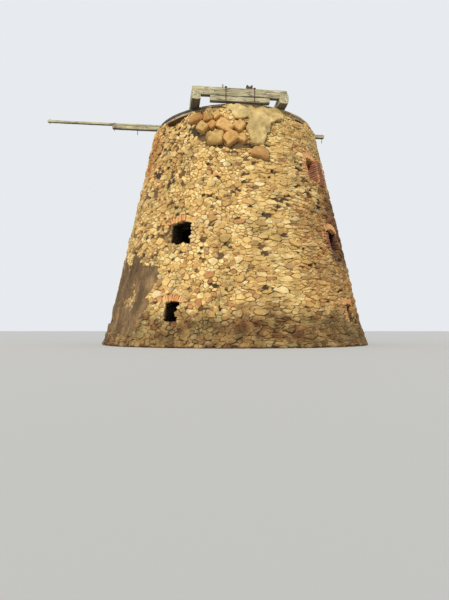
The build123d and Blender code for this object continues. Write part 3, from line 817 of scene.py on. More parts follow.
def at_the_foot(place, colour):
    """The splashed and damp foot of the wall is brown up to a ragged line."""
    earth_line = noise_value(place, 1.4, 5.0) * 1.7 - 0.2
    earth = 1.0 - between(place.z - earth_line, 0.0, 0.7)
    blotches = between(noise_value(place, 2.6, 5.0, 0.7), 0.38, 0.6)
    return blend(earth * (blotches * 0.38 + 0.6), colour, (118, 92, 70), "MULTIPLY")


def within(value, low, rise, high, fall):
    """1 between two limits, rising past the first and falling before the second."""
    return between(value, low, low + rise) * (1.0 - between(value, high - fall, high))


def flank_rust_and_shade(place, colour):
    """Rusty stone high on the left flank, and painted shade on the right flank where it turns from the lamp: a dark
    streak under the upper window, which is also a damp stain, and a broader, lighter darkening round it.
    """
    shake = noise_value(place, 1.6, 6.0, 0.65)
    shaken = calc("ARCTAN2", place.x, -place.y) + shake * 0.6
    up = place.z + shake * 2.0
    for start, stop, low, high, share, stain in FLANK_RUST_AND_SHADE:
        mask = within(shaken, start, 0.16, stop, 0.45) * within(up, low, 0.8, high, 0.8)
        colour = blend(mask * share, colour, stain, "MULTIPLY")
    return colour


def painted_inner_shade(place, colour):
    """Painted shade: darkens what lies deep in the openings and the walls of the closed lower rooms, where little light
    reaches.
    """
    face = CONE_FOOT_RADIUS - place.z * BATTER
    deep = between(face - calc("LENGTH", place * (1, 1, 0)), 0.0, 0.16)
    closed_in = 1.0 - between(place.z, SECOND_LEDGE, SECOND_LEDGE + 0.6)
    return blend(deep * closed_in * 0.86, colour, (30, 22, 16))


def stone_material():
    """Field stone: each stone takes its own tone, then stains, grit and moss lie over all of them."""
    place = new_material("field_stone")
    own = own_values()
    common = ramp(own.x, (0.0, (182, 140, 84)), (0.2, (222, 180, 108)), (0.5, (240, 204, 128)),
                  (0.78, (248, 218, 148)), (0.94, (252, 232, 174)), (1.0, (204, 166, 108)))
    rare = ramp(own.y, (0.9, (226, 184, 114)), (0.93, (140, 100, 58)), (0.96, (218, 156, 98)),
                (0.985, (180, 118, 76)), (1.0, (186, 166, 126)))
    colour = stained(blend(between(own.y, 0.9, 0.92), common, rare), place, 0.35, (176, 134, 78), 1.3, 1.6)
    grit = grit_of(place, 0.035, 0.5)
    colour = gritty(colour, grit, (0.62, 0.58, 0.54, 1), (1.04, 1.02, 0.98, 1))
    colour = flank_rust_and_shade(place, at_the_foot(place, colour))
    colour = painted_inner_shade(place, mossy(colour, place, 0.45, (112, 106, 62), 0.34, 0.5, 0.25))
    return end_material(base_color=colour, normal=bump(grit["Height"], 0.006, 0.8), roughness=0.92)


FIELD_STONE = stone_material()

# %% Earth mortar behind the stones
def mortar_bed_material(name, painted_hollow_shade=False, cobbled=False):
    """The clay and lime that shows between stones, on the reveals and on the wall head."""
    place = new_material(name)
    grit = grit_of(place, 0.06, 0.8)
    height = grit["Height"]
    colour = ramp(grit["Shade"], (0.28, (160, 120, 66)), (0.5, (222, 182, 106)), (0.7, (244, 210, 134)))
    if cobbled:
        cells = {"Vector": place, "Scale": 7.0, "Randomness": 1.0}
        tone = ramp(add("ShaderNodeTexVoronoi", cells)["Color"].x,
                    (0.0, (150, 112, 66)), (0.5, (212, 172, 106)), (1.0, (240, 208, 146)))
        edge = add("ShaderNodeTexVoronoi", cells, feature="DISTANCE_TO_EDGE")
        colour = blend(between(edge + height * 0.06, 0.07, 0.13), blend(0.55, colour, (70, 52, 34)), tone)
        height = height + between(edge, 0.02, 0.2) * 1.6
    if painted_hollow_shade:
        # Painted shade: near-black where the bedding mortar lies low, in washed-out joints and in the holes where
        # stones have dropped out.
        hollow_shade = 1.0 - between(add("ShaderNodeAttribute", attribute_name="level")["Fac"], 0.05, 0.4)
        colour = blend(hollow_shade * 0.95, colour, (32, 25, 21))
    colour = stained(colour, place, 0.4, (150, 114, 66), 0.9, 1.4)
    colour = painted_inner_shade(place, flank_rust_and_shade(place, at_the_foot(place, colour)))
    return end_material(base_color=colour, normal=bump(height, 0.02, 1.0), roughness=0.96)


EARTH_MORTAR = mortar_bed_material("earth_mortar", cobbled=True)
BEDDING_MORTAR = mortar_bed_material("bedding_mortar", painted_hollow_shade=True)
BRICK_JOINT = mortar_bed_material("brick_joint_mortar")

# %% [markdown]
# First the stones are laid out, as a mason would: a few big ones, then middling ones, then small
# ones in the gaps. The wall is unrolled so that a cone becomes a flat sheet without changing any
# angle, which makes the stones shrink towards the head by themselves. On the sheet each stone is one
# point that keeps its distance from the others, and a Delaunay net joins the points. The stones on
# the right of the tower are long thin flakes, so there the sheet is squeezed before it is filled.

# %% Lay out the rubble
ROUND_LENGTH = 2 * math.pi * MEAN_RADIUS
SHEET_HEIGHT = MEAN_RADIUS / BATTER * math.log(CONE_FOOT_RADIUS / HEAD_RADIUS)
BLOCKY = 1.45
FLAKY = 2.7
FLAKE_THIN = 0.72
WAVE = 0.25
WAVES_ROUND = 5
FLAKES_FROM = math.radians(-2)
FLAKES_TO = math.radians(80)
FLAKES_FADE = math.radians(16)
AZIMUTH_STEPS = 720
OVERLAP = 0.5
FACING_ROOM = 1.1
# Passes over a sheet are pairs of a stone's size, in spacings, and how often one is tried
OUTER_SPACING, OUTER_PASSES, OUTER_SEED = 0.07, [(2.2, 500), (1.6, 2500), (1.0, 30000), (0.7, 50000)], 3
INNER_SPACING, INNER_PASSES, INNER_SEED = 0.15, [(1.6, 600), (1.0, 9000), (0.75, 9000)], 8


def flake_share(azimuth):
    """0 where the stones are blocky and 1 among the flakes, by where it is round the tower."""
    rise = min(max((azimuth - FLAKES_FROM) / FLAKES_FADE, 0), 1)
    fall = min(max((FLAKES_TO - azimuth) / FLAKES_FADE, 0), 1)
    return min(rise, fall)


def flakiness(azimuth):
    """How many times longer than high a stone is."""
    return BLOCKY + (FLAKY - BLOCKY) * flake_share(azimuth) + WAVE * math.sin(WAVES_ROUND * azimuth)


squeezed = [0.0]
for number in range(AZIMUTH_STEPS):
    azimuth = -math.pi + (number + 0.5) * 2 * math.pi / AZIMUTH_STEPS
    squeezed.append(squeezed[-1] + ROUND_LENGTH / AZIMUTH_STEPS / flakiness(azimuth))
SQUEEZED_LENGTH = squeezed[-1]


def let_out(place):
    """The place round the wall, in metres at the mean radius, for a place on the squeezed sheet."""
    turns, place = divmod(place, SQUEEZED_LENGTH)
    low, high = 0, AZIMUTH_STEPS
    while high - low > 1:
        middle = (low + high) // 2
        low, high = (middle, high) if squeezed[middle] <= place else (low, middle)
    part = (place - squeezed[low]) / (squeezed[high] - squeezed[low])
    return ((low + part) / AZIMUTH_STEPS + turns - 0.5) * ROUND_LENGTH


def taken_in(azimuth):
    """The place on the squeezed sheet for a place round the tower, between half a turn left and right."""
    steps = (azimuth / (2 * math.pi) + 0.5) * AZIMUTH_STEPS
    low = min(int(steps), AZIMUTH_STEPS - 1)
    return squeezed[low] + (steps - low) * (squeezed[low + 1] - squeezed[low])


def facing_points(spacing):
    """The frame's facing stones as points of the sheet, with their sizes."""
    for corners in [corners for node in FACING_NODES for corners in loose_parts(node)]:
        middle = middle_of(corners)
        tall = max(corner.z for corner in corners) - min(corner.z for corner in corners)
        y = MEAN_RADIUS / BATTER * math.log(CONE_FOOT_RADIUS / (CONE_FOOT_RADIUS - BATTER * middle.z))
        size = FACING_ROOM * tall * MEAN_RADIUS / face_radius(middle.z) / spacing
        yield taken_in(azimuth_of(middle)), y, size


def apart(one, other, spacing):
    """Whether two points of the sheet, each with its size, keep their distance."""
    across = abs(one[0] - other[0])
    across = min(across, SQUEEZED_LENGTH - across)
    reach = (one[2] + other[2]) / 2 * spacing
    return across * across + (one[1] - other[1]) ** 2 >= reach * reach


def scattered_points(spacing, passes, seed, first):
    """Points that keep apart, in passes, on a sheet that closes on itself sideways."""
    draw = random.Random(seed)
    found, cells = [], {}
    columns = int(SQUEEZED_LENGTH / spacing)
    wide = SQUEEZED_LENGTH / columns

    def cell(x, y, right=0, up=0):
        return (int(x / wide) + right) % columns, int(y // spacing) + up

    def keep(x, y, size):
        found.append((x, y))
        cells.setdefault(cell(x, y), []).append((x, y, size))

    for one in first:
        keep(*one)
    for size, tries in passes:
        for _ in range(tries):
            x, y = draw.uniform(0, SQUEEZED_LENGTH), draw.uniform(-OVERLAP, SHEET_HEIGHT + OVERLAP)
            one = x, y, size * (1 - (1 - FLAKE_THIN) * flake_share(let_out(x) / MEAN_RADIUS))
            near = (cells.get(cell(x, y, right, up), ()) for right in range(-2, 3) for up in range(-2, 3))
            if all(apart(one, other, spacing) for group in near for other in group):
                keep(*one)
    return found


def rubble_net(name, spacing, passes, seed, first=()):
    """A net of triangles over the unrolled wall, one point to a stone, with its ends overlapping."""
    points = scattered_points(spacing, passes, seed, first)
    facing = [number < len(first) for number in range(len(points))]
    for number, (x, y) in enumerate(points[:]):
        if x > SQUEEZED_LENGTH - OVERLAP or x < OVERLAP:
            points.append((x - SQUEEZED_LENGTH if x > OVERLAP else x + SQUEEZED_LENGTH, y))
            facing.append(facing[number])
    found = geometry.delaunay_2d_cdt([Vector(point) for point in points], [], [], 0, 1e-6)
    corners = []
    for x, y in found[0]:
        height = (CONE_FOOT_RADIUS - CONE_FOOT_RADIUS * math.exp(-y * BATTER / MEAN_RADIUS)) / BATTER
        corners.append((let_out(x), height, 0))
    net = bpy.data.meshes.new(name)
    net.from_pydata(corners, [], found[2])
    proud = net.attributes.new("proud", "FLOAT", "POINT")
    proud.data.foreach_set("value", [float(any(facing[one] for one in origin)) for origin in found[3]])
    print(name, len(points), "stones laid out,", len(first), "of them where the frame has facing stones")
    return net


OUTER_NET = rubble_net("outer_net", OUTER_SPACING, OUTER_PASSES, OUTER_SEED, list(facing_points(OUTER_SPACING)))
INNER_NET = rubble_net("inner_net", INNER_SPACING, INNER_PASSES, INNER_SEED)

# %% [markdown]
# The tree below turns the net into stones. Its dual is a pattern of many-sided cells that fit each
# other as real rubble does. Cells with no masonry behind them are deleted, by casting a ray from in
# front of the wall, so windows, the doorway and the broken wall head cut the pattern raggedly and no
# stone hangs in the air. Then the sheet is rolled up, and each cell is raised into a stone with a
# chipped front. The wall bulges here and there, as old rubble does, because some stones stand prouder.

# %% Geometry helpers
RAY_START = 0.6
RAY_MARGIN = 0.05
WELD = 0.0004
BULGE = 0.05
BULGE_SCALE = 0.9


def random_between(low, high, seed):
    kind = "FLOAT_VECTOR" if is_vector(low) else "FLOAT"
    return add("FunctionNodeRandomValue", {"Min": low, "Max": high, "Seed": seed}, data_type=kind)


def stored(mesh, name, value, domain="POINT"):
    """Keeps a value on a mesh under a name."""
    kind = "FLOAT_VECTOR" if is_vector(value) else "FLOAT"
    feeds = {"Geometry": mesh, "Name": name, "Value": value}
    return add("GeometryNodeStoreNamedAttribute", feeds, data_type=kind, domain=domain)


def recalled(name, kind="FLOAT"):
    return add("GeometryNodeInputNamedAttribute", {"Name": name}, data_type=kind)


def moved(mesh, **feeds):
    """Gives corners a position or moves them by an offset, all of them or a selection."""
    return add("GeometryNodeSetPosition", titled({"geometry": mesh, **feeds}))


def scaled(mesh, scale, selection=True):
    return add("GeometryNodeScaleElements", {"Geometry": mesh, "Selection": selection, "Scale": scale})


def without(mesh, unwanted):
    return add("GeometryNodeDeleteGeometry", {"Geometry": mesh, "Selection": unwanted}, domain="FACE")


def extruded(mesh, reach, selection=True, individual=True):
    return add("GeometryNodeExtrudeMesh", {
        "Mesh": mesh, "Selection": selection, "Offset Scale": reach, "Individual": individual})


def closed(front, sheet):
    """A raised sheet closed by its own back, with the seams welded."""
    both = add("GeometryNodeJoinGeometry", {0: [front, add("GeometryNodeFlipFaces", {"Mesh": sheet})]})
    return add("GeometryNodeMergeByDistance", {"Geometry": both, "Distance": WELD})


def finish_tree(mesh, finish, smooth=False, sharp_from=None):
    """Every tree here ends the same way: flat or smooth faces, real geometry and a material."""
    mesh = add("GeometryNodeSetShadeSmooth", {"Geometry": mesh, "Shade Smooth": smooth})
    if sharp_from:
        feeds = {0: mesh, "Selection": add("GeometryNodeInputMeshEdgeAngle") > sharp_from, "Shade Smooth": False}
        mesh = add("GeometryNodeSetShadeSmooth", feeds, domain="EDGE")
    mesh = add("GeometryNodeRealizeInstances", {0: mesh})
    add("NodeGroupOutput", {0: add("GeometryNodeSetMaterial", {"Geometry": mesh, "Material": finish})})


def rolled_up(place, side, wall_thickness):
    """The point on the battered wall for a point on the unrolled sheet, the way out of the wall, the height."""
    azimuth = place.x / MEAN_RADIUS * side
    height = calc("MAXIMUM", place.y, WELD)
    cone = CONE_FOOT_RADIUS - height * BATTER
    foot = FOOT_RADIUS - height * FLARE - (wall_thickness > 0.0) * FOOT_RADIUS
    radius = calc("MAXIMUM", cone, foot) - wall_thickness
    outward = vector_of(calc("SINE", azimuth), -calc("COSINE", azimuth), 0.0)
    return outward * radius + vector_of(0.0, 0.0, height), outward * side, height


def met_by_ray(guide, on_wall, outward):
    """Whether a ray from in front of the wall meets a guide near its face. It puts out the distance too."""
    return add("GeometryNodeRaycast", {
        "Target Geometry": add("GeometryNodeObjectInfo", {"Object": guide})["Geometry"],
        "Source Position": on_wall + outward * RAY_START, "Ray Direction": -outward,
        "Ray Length": RAY_START + 2 * RAY_MARGIN})


def without_backing(on_wall, outward, masonry_guide, cover_guide):
    """Whether a point of the wall has no masonry behind it, or is already covered."""
    backing = met_by_ray(masonry_guide, on_wall, outward)
    missed = backing.nand(abs(backing["Hit Distance"] - RAY_START) < RAY_MARGIN)
    return missed | met_by_ray(cover_guide, on_wall, outward)

# %% Rubble tree
RAGGED = 0.026
CHIP = 0.011
FACING_PROUD = 0.028
JOINT_SPREAD = 0.05


def raised_stone(sheet, rise, seed):
    """Gives every face of a sheet its own thickness, a drawn-in front and a closed back."""
    body = extruded(sheet, rise)
    front = body["Top"]
    drawn = scaled(closed(body, sheet), random_between(0.8, 1.0, seed + 12.0), front)
    chipped = moved(drawn, selection=front, offset=random_between((-CHIP,) * 3, (CHIP,) * 3, seed + 13.0))
    cap = extruded(chipped, random_between(0.0, 0.008, seed + 14.0), front)
    return scaled(cap, random_between(0.72, 0.95, seed + 15.0), cap["Top"])


rubble_tree, given = new_group("Rubble Face", {
    "Net": "Geometry", "Joint": 0.95, "Least Proud": 0.006, "Most Proud": 0.042, "Side": 1.0, "Wall Thickness": 0.0,
    "Keep Low": 0.0, "Keep High": 10.0, "Seed": 1, "Masonry": "Object", "Covering": "Object", "Finish": "Material",
}, "Geometry")
seed = given["Seed"]
cells = add("GeometryNodeDualMesh", {"Mesh": given["Net"]})
cells = moved(cells, offset=random_between((-1.3 * RAGGED, -RAGGED, 0), (1.3 * RAGGED, RAGGED, 0), seed))
cells = stored(cells, "stone", random_between((0, 0, 0), (1, 1, 1), seed + 5.0), "FACE")

here = add("GeometryNodeInputPosition")
on_wall, outward, height = rolled_up(here, given["Side"], given["Wall Thickness"])
bare = without_backing(on_wall, outward, given["Masonry"], given["Covering"])
outside_storey = (height < given["Keep Low"]) | (height >= given["Keep High"])
cells = without(cells, bare | (outside_storey | (abs(here.x) > ROUND_LENGTH / 2)))
cells = add("GeometryNodeSplitEdges", {"Mesh": cells})
cells = scaled(cells, random_between(given["Joint"] - JOINT_SPREAD, given["Joint"] + JOINT_SPREAD, seed + 6.0))
cells = moved(cells, position=on_wall)
rise = random_between(given["Least Proud"], given["Most Proud"], seed + 11.0)
rise = rise + noise_value(here, BULGE_SCALE, 1.0, 0.5) * BULGE + recalled("proud") * FACING_PROUD
stones = raised_stone(cells, rise, seed)
stones = moved(stones, position=vector_of(here.x, here.y, calc("MAXIMUM", here.z, 0.0)))
finish_tree(stones, given["Finish"])

# %% [markdown]
# The joints of such a wall are never empty. Earth and lime mortar fills them nearly to the faces of
# the stones, lies smeared over some of them, and has been washed out of others, which leaves holes.
# The tree below lays one sheet of it over the wall at a height that wanders, so that it buries a stone
# here and uncovers one there. It keeps the height as a value for the finish, which paints shade where the mortar lies
# low.

# %% Bedding mortar
WASH_SCALE = 7.5
SMEAR_SCALE = 0.8

bedding_tree, given = new_group("Bedding Mortar", {
    "Cell": 0.06, "Least": 0.003, "Most": 0.042, "Smear": 0.022, "Low": 0.0, "High": 1.0,
    "Masonry": "Object", "Patches": "Object", "Fallen": "Object", "Finish": "Material",
}, "Geometry")
tall = given["High"] - given["Low"]
sheet = add("GeometryNodeMeshGrid", {
    "Size X": ROUND_LENGTH, "Size Y": tall,
    "Vertices X": ROUND_LENGTH / given["Cell"], "Vertices Y": tall / given["Cell"] + 2.0})
sheet = moved(sheet, offset=vector_of(0.0, (given["High"] + given["Low"]) * 0.5, 0.0))
here = add("GeometryNodeInputPosition")
on_wall, outward, height = rolled_up(here, 1.0, 0.0)
sheet = without(sheet, without_backing(on_wall, outward, given["Masonry"], given["Patches"]))
wash = noise_value(on_wall, WASH_SCALE, 3.0, 0.5)
washed = between(wash, 0.4, 0.7) * (1.0 - met_by_ray(given["Fallen"], on_wall, outward))
splashed = (1.0 - between(height, 0.1, 1.0)) * 0.75
washed = calc("MAXIMUM", washed, splashed * between(wash, 0.4, 0.6))
smeared = between(noise_value(on_wall, SMEAR_SCALE, 2.0, 0.5), 0.5, 0.66) * washed
level = given["Least"] + washed * (given["Most"] - given["Least"]) + smeared * given["Smear"]
sheet = stored(sheet, "level", level / (given["Most"] + given["Smear"]))
level = level + noise_value(here, BULGE_SCALE, 1.0, 0.5) * BULGE * washed
sheet = moved(stored(sheet, "lift", outward * level), position=on_wall)
body = extruded(sheet, 0.0, individual=False)
front = moved(body, selection=body["Top"], offset=recalled("lift", "FLOAT_VECTOR"))
finish_tree(closed(front, sheet), given["Finish"], smooth=True)

# %% Grow the wall stones
def grow(name, grower, values, start=None):
    """Runs a geometry tree on a start mesh, or on nothing, and keeps the result as a plain mesh."""
    piece = linked(name, start or bpy.data.meshes.new(name))
    modifier = piece.modifiers.new(name, "NODES")
    modifier.node_group = grower
    for socket in grower.interface.items_tree:
        if socket.in_out == "INPUT" and socket.name in values:
            modifier[socket.identifier] = values[socket.name]
    mesh = bpy.data.meshes.new_from_object(piece.evaluated_get(bpy.context.evaluated_depsgraph_get()))
    piece.modifiers.clear()
    piece.data = mesh
    return piece


STOREYS = [("lower", 0.03, FIRST_LEDGE, 0.9), ("middle", FIRST_LEDGE, SECOND_LEDGE, 0.78),
           ("upper", SECOND_LEDGE, HEAD_HEIGHT + 0.02, 0.64)]
for storey, low, high, wall in STOREYS:
    common = {"Keep Low": low, "Keep High": high, "Masonry": masonry, "Covering": covering, "Finish": FIELD_STONE}
    bed = {"Low": max(low, 0.0), "High": min(high, HEAD_HEIGHT), "Masonry": masonry, "Patches": patches,
           "Fallen": fallen, "Finish": BEDDING_MORTAR}
    inside = {"Side": -1.0, "Wall Thickness": wall, "Seed": 40, "Least Proud": 0.012, "Most Proud": 0.035}
    outer = grow(storey + "_outer_stones", rubble_tree, common, OUTER_NET)
    finished(outer, "rubble", storey + "_facing_stones")
    finished(grow(storey + "_bedding_mortar", bedding_tree, bed), "rubble")
    finished(grow(storey + "_inner_stones", rubble_tree, {**common, **inside}, INNER_NET), "rubble")

# %% [markdown]
# The frame's own solids stay in view where their shape is right, and need only a finish.

# %% Finishes for the walls of the frame
def wear(material, *nodes):
    """Gives frame nodes a finish, in place of their plain one."""
    for node in nodes:
        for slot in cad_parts[node].material_slots:
            slot.material = material


wear(EARTH_MORTAR, *WALL_NODES)
wear(BRICK_JOINT, *BRICK_NODES)

# %% [markdown]
# Every timber of the curb and the cap was squared with an axe, so none is quite straight, their edges
# are waney and their ends have rotted back. One tree draws them all: a block cut into slices, with
# rounded edges, a slow wander along its length, worn ends, and a bend where it belongs to the curb.
# It also stores each point's place along, across and up the timber, so that the grain of the
# finish runs along the wood whichever way the timber lies.

# %% Hewn timber tree
EDGE_SLICES = 6
SLOW = 1.3
QUICK = 9.0
ROT_SCALE = 14.0
END_POWER = 26.0
SHARP_FROM = math.radians(38)


def wandering(place, scale, reach):
    """A vector that wanders between plus and minus reach."""
    return (noise_value(place, scale, 2.0, 0.5)["Color"] - (0.5, 0.5, 0.5)) * (reach * 2.0)


timber_tree, given = new_group("Hewn Timber", {
    "Length": 1.0, "Width": 0.2, "Height": 0.2, "Place": "Vector", "Turn": 0.0, "Pitch": 0.0, "Bend Radius": 0.0,
    "Squareness": 6.0, "Wander": 0.012, "Worn End": 0.03, "Slice": 0.05, "Seed": 0.0, "Finish": "Material",
}, "Geometry")
size = vector_of(given["Length"], given["Width"], given["Height"])
solid = add("GeometryNodeMeshCube", {
    "Size": size, "Vertices X": given["Length"] / given["Slice"] + 2.0,
    "Vertices Y": EDGE_SLICES, "Vertices Z": EDGE_SLICES})
here = add("GeometryNodeInputPosition")
share = (here + here) / size
far_y, far_z, power = abs(share.y), abs(share.z), given["Squareness"]
round_off = calc("MAXIMUM", far_y, far_z) / (far_y ** power + far_z ** power) ** (1.0 / power)
at_end = abs(share.x) ** END_POWER
narrowing = round_off - at_end * 0.05
rounded = here * vector_of(1.0, narrowing, narrowing)
noise_place = here + vector_of(given["Seed"] * 7.3, given["Seed"], 0.0)
slow = wandering(noise_place, SLOW, given["Wander"]) * (0, 1, 1)
quick = wandering(noise_place, QUICK, given["Wander"] * 0.45)
back = noise_value(noise_place, ROT_SCALE, 2.0, 0.5) * given["Worn End"] * at_end * -calc("SIGN", share.x)
solid = stored(solid, "grain", noise_place)
solid = moved(solid, position=rounded + slow + (quick + vector_of(back, 0.0, 0.0)))
bend = given["Bend Radius"]
arc, reach = here.x / bend, bend - here.y
bent = vector_of(reach * calc("SINE", arc), -(reach * calc("COSINE", arc)), here.z)
solid = moved(solid, selection=bend > 0.0, position=bent)
turn = add("FunctionNodeEulerToRotation", {0: vector_of(0.0, given["Pitch"], given["Turn"])})
solid = add("GeometryNodeTransform", {"Geometry": solid, "Translation": given["Place"], "Rotation": turn})
finish_tree(solid, given["Finish"], smooth=True, sharp_from=SHARP_FROM)

# %% Timber grain
grain_group, given = new_group(
    "Timber Grain", {"Vector": "Vector", "Fineness": 34.0, "Checks": 0.5}, "Fibre", "Check", "Height")
fibre = noise_value(given["Vector"] * vector_of(1.6, given["Fineness"], given["Fineness"]), 1.0, 5.0, 0.65)
ridge = abs(noise_value(given["Vector"] * (0.9, 13.0, 13.0), 1.0, 2.0, 0.5) - 0.5)
check = 1.0 - between(ridge, 0.0, given["Checks"] * 0.03)
add("NodeGroupOutput", {"Fibre": fibre, "Check": check, "Height": fibre - check * 1.4})


def timber_material(name, dark, middle, pale, moss_cover=0.18, from_object=False):
    """Bleached, checked wood, with painted shade on its under sides. It reads its own stored grain, or the object's
    coordinates on a frame solid.
    """
    place = new_material(name)
    along = place if from_object else add("ShaderNodeAttribute", attribute_name="grain")["Vector"]
    grain = use_group(grain_group, vector=along, checks=0.8)
    colour = ramp(grain["Fibre"], (0.32, dark), (0.5, middle), (0.68, pale))
    colour = stained(colour, place, 0.4, dark, 0.5, streak=0.6, cover=0.45)
    colour = mossy(colour, place, 0.6, (122, 128, 66), moss_cover, 0.25, 0.2)
    lichen = between(noise_value(place, 5.0, 3.0), 0.66, 0.74)
    colour = blend(lichen * 0.55, colour, (196, 120, 56))
    colour = blend(grain["Check"] * 0.8, colour, (44, 36, 30))
    # Painted shade: faces that look down are darkened.
    underside_shade = 1.0 - between(add("ShaderNodeNewGeometry")["Normal"].z, -0.9, -0.1)
    colour = blend(underside_shade * 0.75, colour, (56, 48, 40))
    return end_material(base_color=colour, normal=bump(grain["Height"], 0.006), roughness=0.95 - grain["Fibre"] * 0.2)


PALE_TIMBER = timber_material("bleached_timber", (126, 114, 86), (194, 182, 142), (230, 222, 184), 0.3)
BLEACHED_CURB = timber_material("bleached_curb", (128, 104, 76), (196, 166, 120), (222, 202, 156))
DARK_TIMBER = timber_material("wet_timber", (48, 42, 38), (84, 76, 66), (120, 112, 96), 0.12)
RING_TIMBER = timber_material("curb_timber", (126, 100, 76), (192, 162, 124), (220, 198, 158))
FLOOR_TIMBER = timber_material("floor_timber", (74, 58, 44), (118, 98, 74), (150, 130, 100), 0.1, from_object=True)
BOARD_TIMBER = timber_material("floor_boards", (84, 70, 54), (134, 116, 90), (168, 152, 122), 0.2)

# %% [markdown]
# The curb is two layers of curved segments with their joints staggered, so that no joint runs through.
# On it lie the two long sheers, and across their ends the two cross beams. A shorter bolster hangs
# under the near beam, and one long spar with a pole on top crosses the whole frame and sticks out on
# both sides. Each row of the table is one timber: its middle, its size, and its turn.

# %% Curb and cap frame
CAP_TURN = math.radians(8)
CAP_SHIFT = -0.215
CURB_MIDDLE = 2.65
CURB_WIDTH = 0.3
CURB_LAYER = 0.09
CURB_SEGMENTS = 8
CURB_GAP = 0.008
DARK_CURB_SEGMENTS = (2, 3, 4, 5, 6)
END_BEAM_AT = 2.79


def cap_place(side, away, height):
    """A point of the cap's frame, which stands a little turned and shifted on the tower."""
    side += CAP_SHIFT
    return (side * math.cos(CAP_TURN) - away * math.sin(CAP_TURN),
            side * math.sin(CAP_TURN) + away * math.cos(CAP_TURN), height)


def timbers(node, rows, slot="weathered_timber"):
    """Several timbers as one piece that stands for a node of the frame."""
    name = "dressed_" + node
    grown = [grow(f"{name}_{number}", timber_tree, {"Seed": float(number + len(name)), **row})
             for number, row in enumerate(rows)]
    with bpy.context.temp_override(active_object=grown[0], selected_editable_objects=grown):
        bpy.ops.object.join()
    grown[0].name = grown[0].data.name = name
    finished(grown[0], slot, node)


def curb_finish(layer, number):
    """The lower layer is brown. The upper one is pale on the front and right segments, and dark on the back and left
    ones.
    """
    if layer == 0:
        return RING_TIMBER
    return DARK_TIMBER if number in DARK_CURB_SEGMENTS else BLEACHED_CURB


segment = 2 * math.pi / CURB_SEGMENTS
for layer, node in enumerate(("curb_ring_lower", "curb_ring_upper")):
    timbers(node, [{
        "Length": segment * CURB_MIDDLE - CURB_GAP, "Width": CURB_WIDTH, "Height": CURB_LAYER,
        "Bend Radius": CURB_MIDDLE, "Turn": (number + layer / 2 + 0.5) * segment,
        "Place": (0, 0, HEAD_HEIGHT + (layer + 0.5) * CURB_LAYER), "Worn End": 0.015, "Wander": 0.014,
        "Squareness": 8.0, "Finish": curb_finish(layer, number),
    } for number in range(CURB_SEGMENTS)])

CROSSING = {"Turn": CAP_TURN}
ALONG = {"Turn": CAP_TURN + math.pi / 2}
STANDING = {"Pitch": math.pi / 2}
CAP_TIMBERS = [
    ("sheer_left", (-1.375, 0, 7.715), (5.9, 0.3, 0.31), ALONG),
    ("sheer_right", (1.375, 0, 7.715), (5.9, 0.3, 0.31), ALONG),
    ("near_cross_beam", (0, -END_BEAM_AT, 7.87), (3.01, 0.2, 0.28), CROSSING),
    ("far_cross_beam", (0, END_BEAM_AT, 7.87), (3.01, 0.2, 0.28), CROSSING),
    ("hung_bolster", (0, -END_BEAM_AT, 7.645), (1.9, 0.2, 0.17), CROSSING),
    ("cross_spar", (-0.23, 0.5, 7.935), (8.02, 0.17, 0.13), CROSSING),
    ("top_pole", (-4.39, 0.5, 8.04), (4.3, 0.12, 0.08), CROSSING),
    ("beam_peg", (-0.54, -END_BEAM_AT, 8.075), (0.13, 0.05, 0.05), STANDING),
]
for node, middle, (length, width, height), lie in CAP_TIMBERS:
    timbers(node, [{
        "Length": length, "Width": width, "Height": height, "Place": cap_place(*middle), "Finish": PALE_TIMBER, **lie}])

# %% Floor boards
BOARD_WIDTH = 0.2
BOARD_GAP = 0.008
WALL_GAP = 0.01
HATCH_LEFT, HATCH_RIGHT, HATCH_HALF = 1.05, 1.95, 0.45


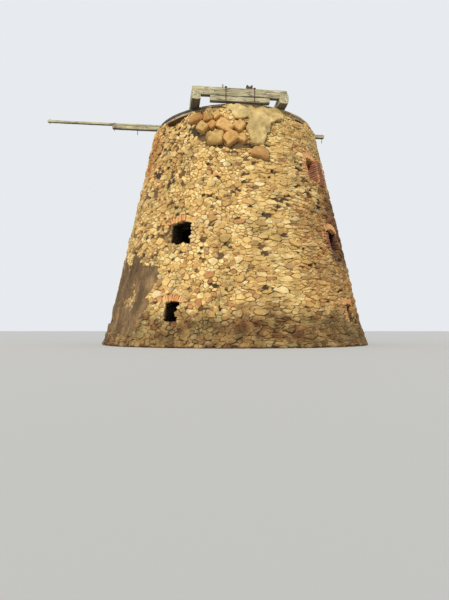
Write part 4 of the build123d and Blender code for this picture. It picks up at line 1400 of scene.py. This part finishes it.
def board_rows(low, high):
    """The boards of one round floor, cut short round the hatch."""
    reach = high.x - WALL_GAP
    for number in range(int(2 * reach / BOARD_WIDTH)):
        left = -reach + number * BOARD_WIDTH
        edge = max(abs(left), abs(left + BOARD_WIDTH))
        if edge >= reach:
            continue
        end = math.sqrt(reach ** 2 - edge ** 2) - BOARD_GAP
        spans = [(-end, end)]
        if left + BOARD_WIDTH > HATCH_LEFT and left < HATCH_RIGHT:
            spans = [(-end, -HATCH_HALF), (HATCH_HALF, end)]
        for start, stop in spans:
            yield {
                "Length": stop - start, "Width": BOARD_WIDTH - BOARD_GAP, "Height": high.z - low.z,
                "Place": (left + BOARD_WIDTH / 2, (start + stop) / 2, (low.z + high.z) / 2),
                "Turn": math.pi / 2, "Wander": 0.004, "Worn End": 0.02, "Squareness": 14.0, "Slice": 0.25,
                "Finish": BOARD_TIMBER,
            }


for node in ("first_floor_boards", "second_floor_boards"):
    timbers(node, board_rows(*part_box(node)), "floor_timber")
wear(FLOOR_TIMBER, "first_floor_beams", "second_floor_beams")

# %% Ground floor flags
def flag_material():
    """Worn floor slabs: dark dirty joints between big grey-brown flags, each with its own shade."""
    place = new_material("floor_flags")
    slabs = add("ShaderNodeTexBrick", {
        "Vector": place, "Color1": (0.62, 0.62, 0.62, 1), "Color2": (1, 1, 1, 1), "Mortar": (0.16, 0.14, 0.12, 1),
        "Scale": 1.0, "Mortar Size": 0.014, "Mortar Smooth": 0.3, "Bias": 0.0, "Brick Width": 0.72, "Row Height": 0.5})
    body = noise_value(place, 3.0, 6.0, 0.65)
    colour = ramp(body, (0.3, (104, 90, 66)), (0.5, (150, 134, 104)), (0.7, (186, 170, 138)))
    grit = grit_of(place, 0.03, 0.5)
    colour = gritty(blend(1.0, colour, slabs, "MULTIPLY"), grit)
    colour = mossy(colour, place, 0.5, (92, 96, 54), 0.4, 0.5, 0.3)
    return end_material(base_color=colour, normal=bump(grit["Height"] - slabs["Fac"], 0.012), roughness=0.9)


wear(flag_material(), "ground_floor_flags")

# %% Rusty iron
def iron_material():
    """Forged iron, rusted brown-black with orange scale where it is dry."""
    place = new_material("rusty_iron")
    grit = grit_of(place, 0.02, 0.5)
    colour = ramp(grit["Shade"], (0.3, (38, 30, 28)), (0.5, (74, 52, 40)), (0.62, (122, 74, 44)), (0.75, (160, 98, 54)))
    return end_material(base_color=colour, normal=bump(grit["Height"], 0.003), metallic=0.35, roughness=0.7)


wear(iron_material(), "spar_bolts", "hanger_rods", "iron_bearing")

# %% Clear the guides and finish
for guide in [masonry, covering, patches, fallen] + shrunken:
    bpy.data.objects.remove(guide)
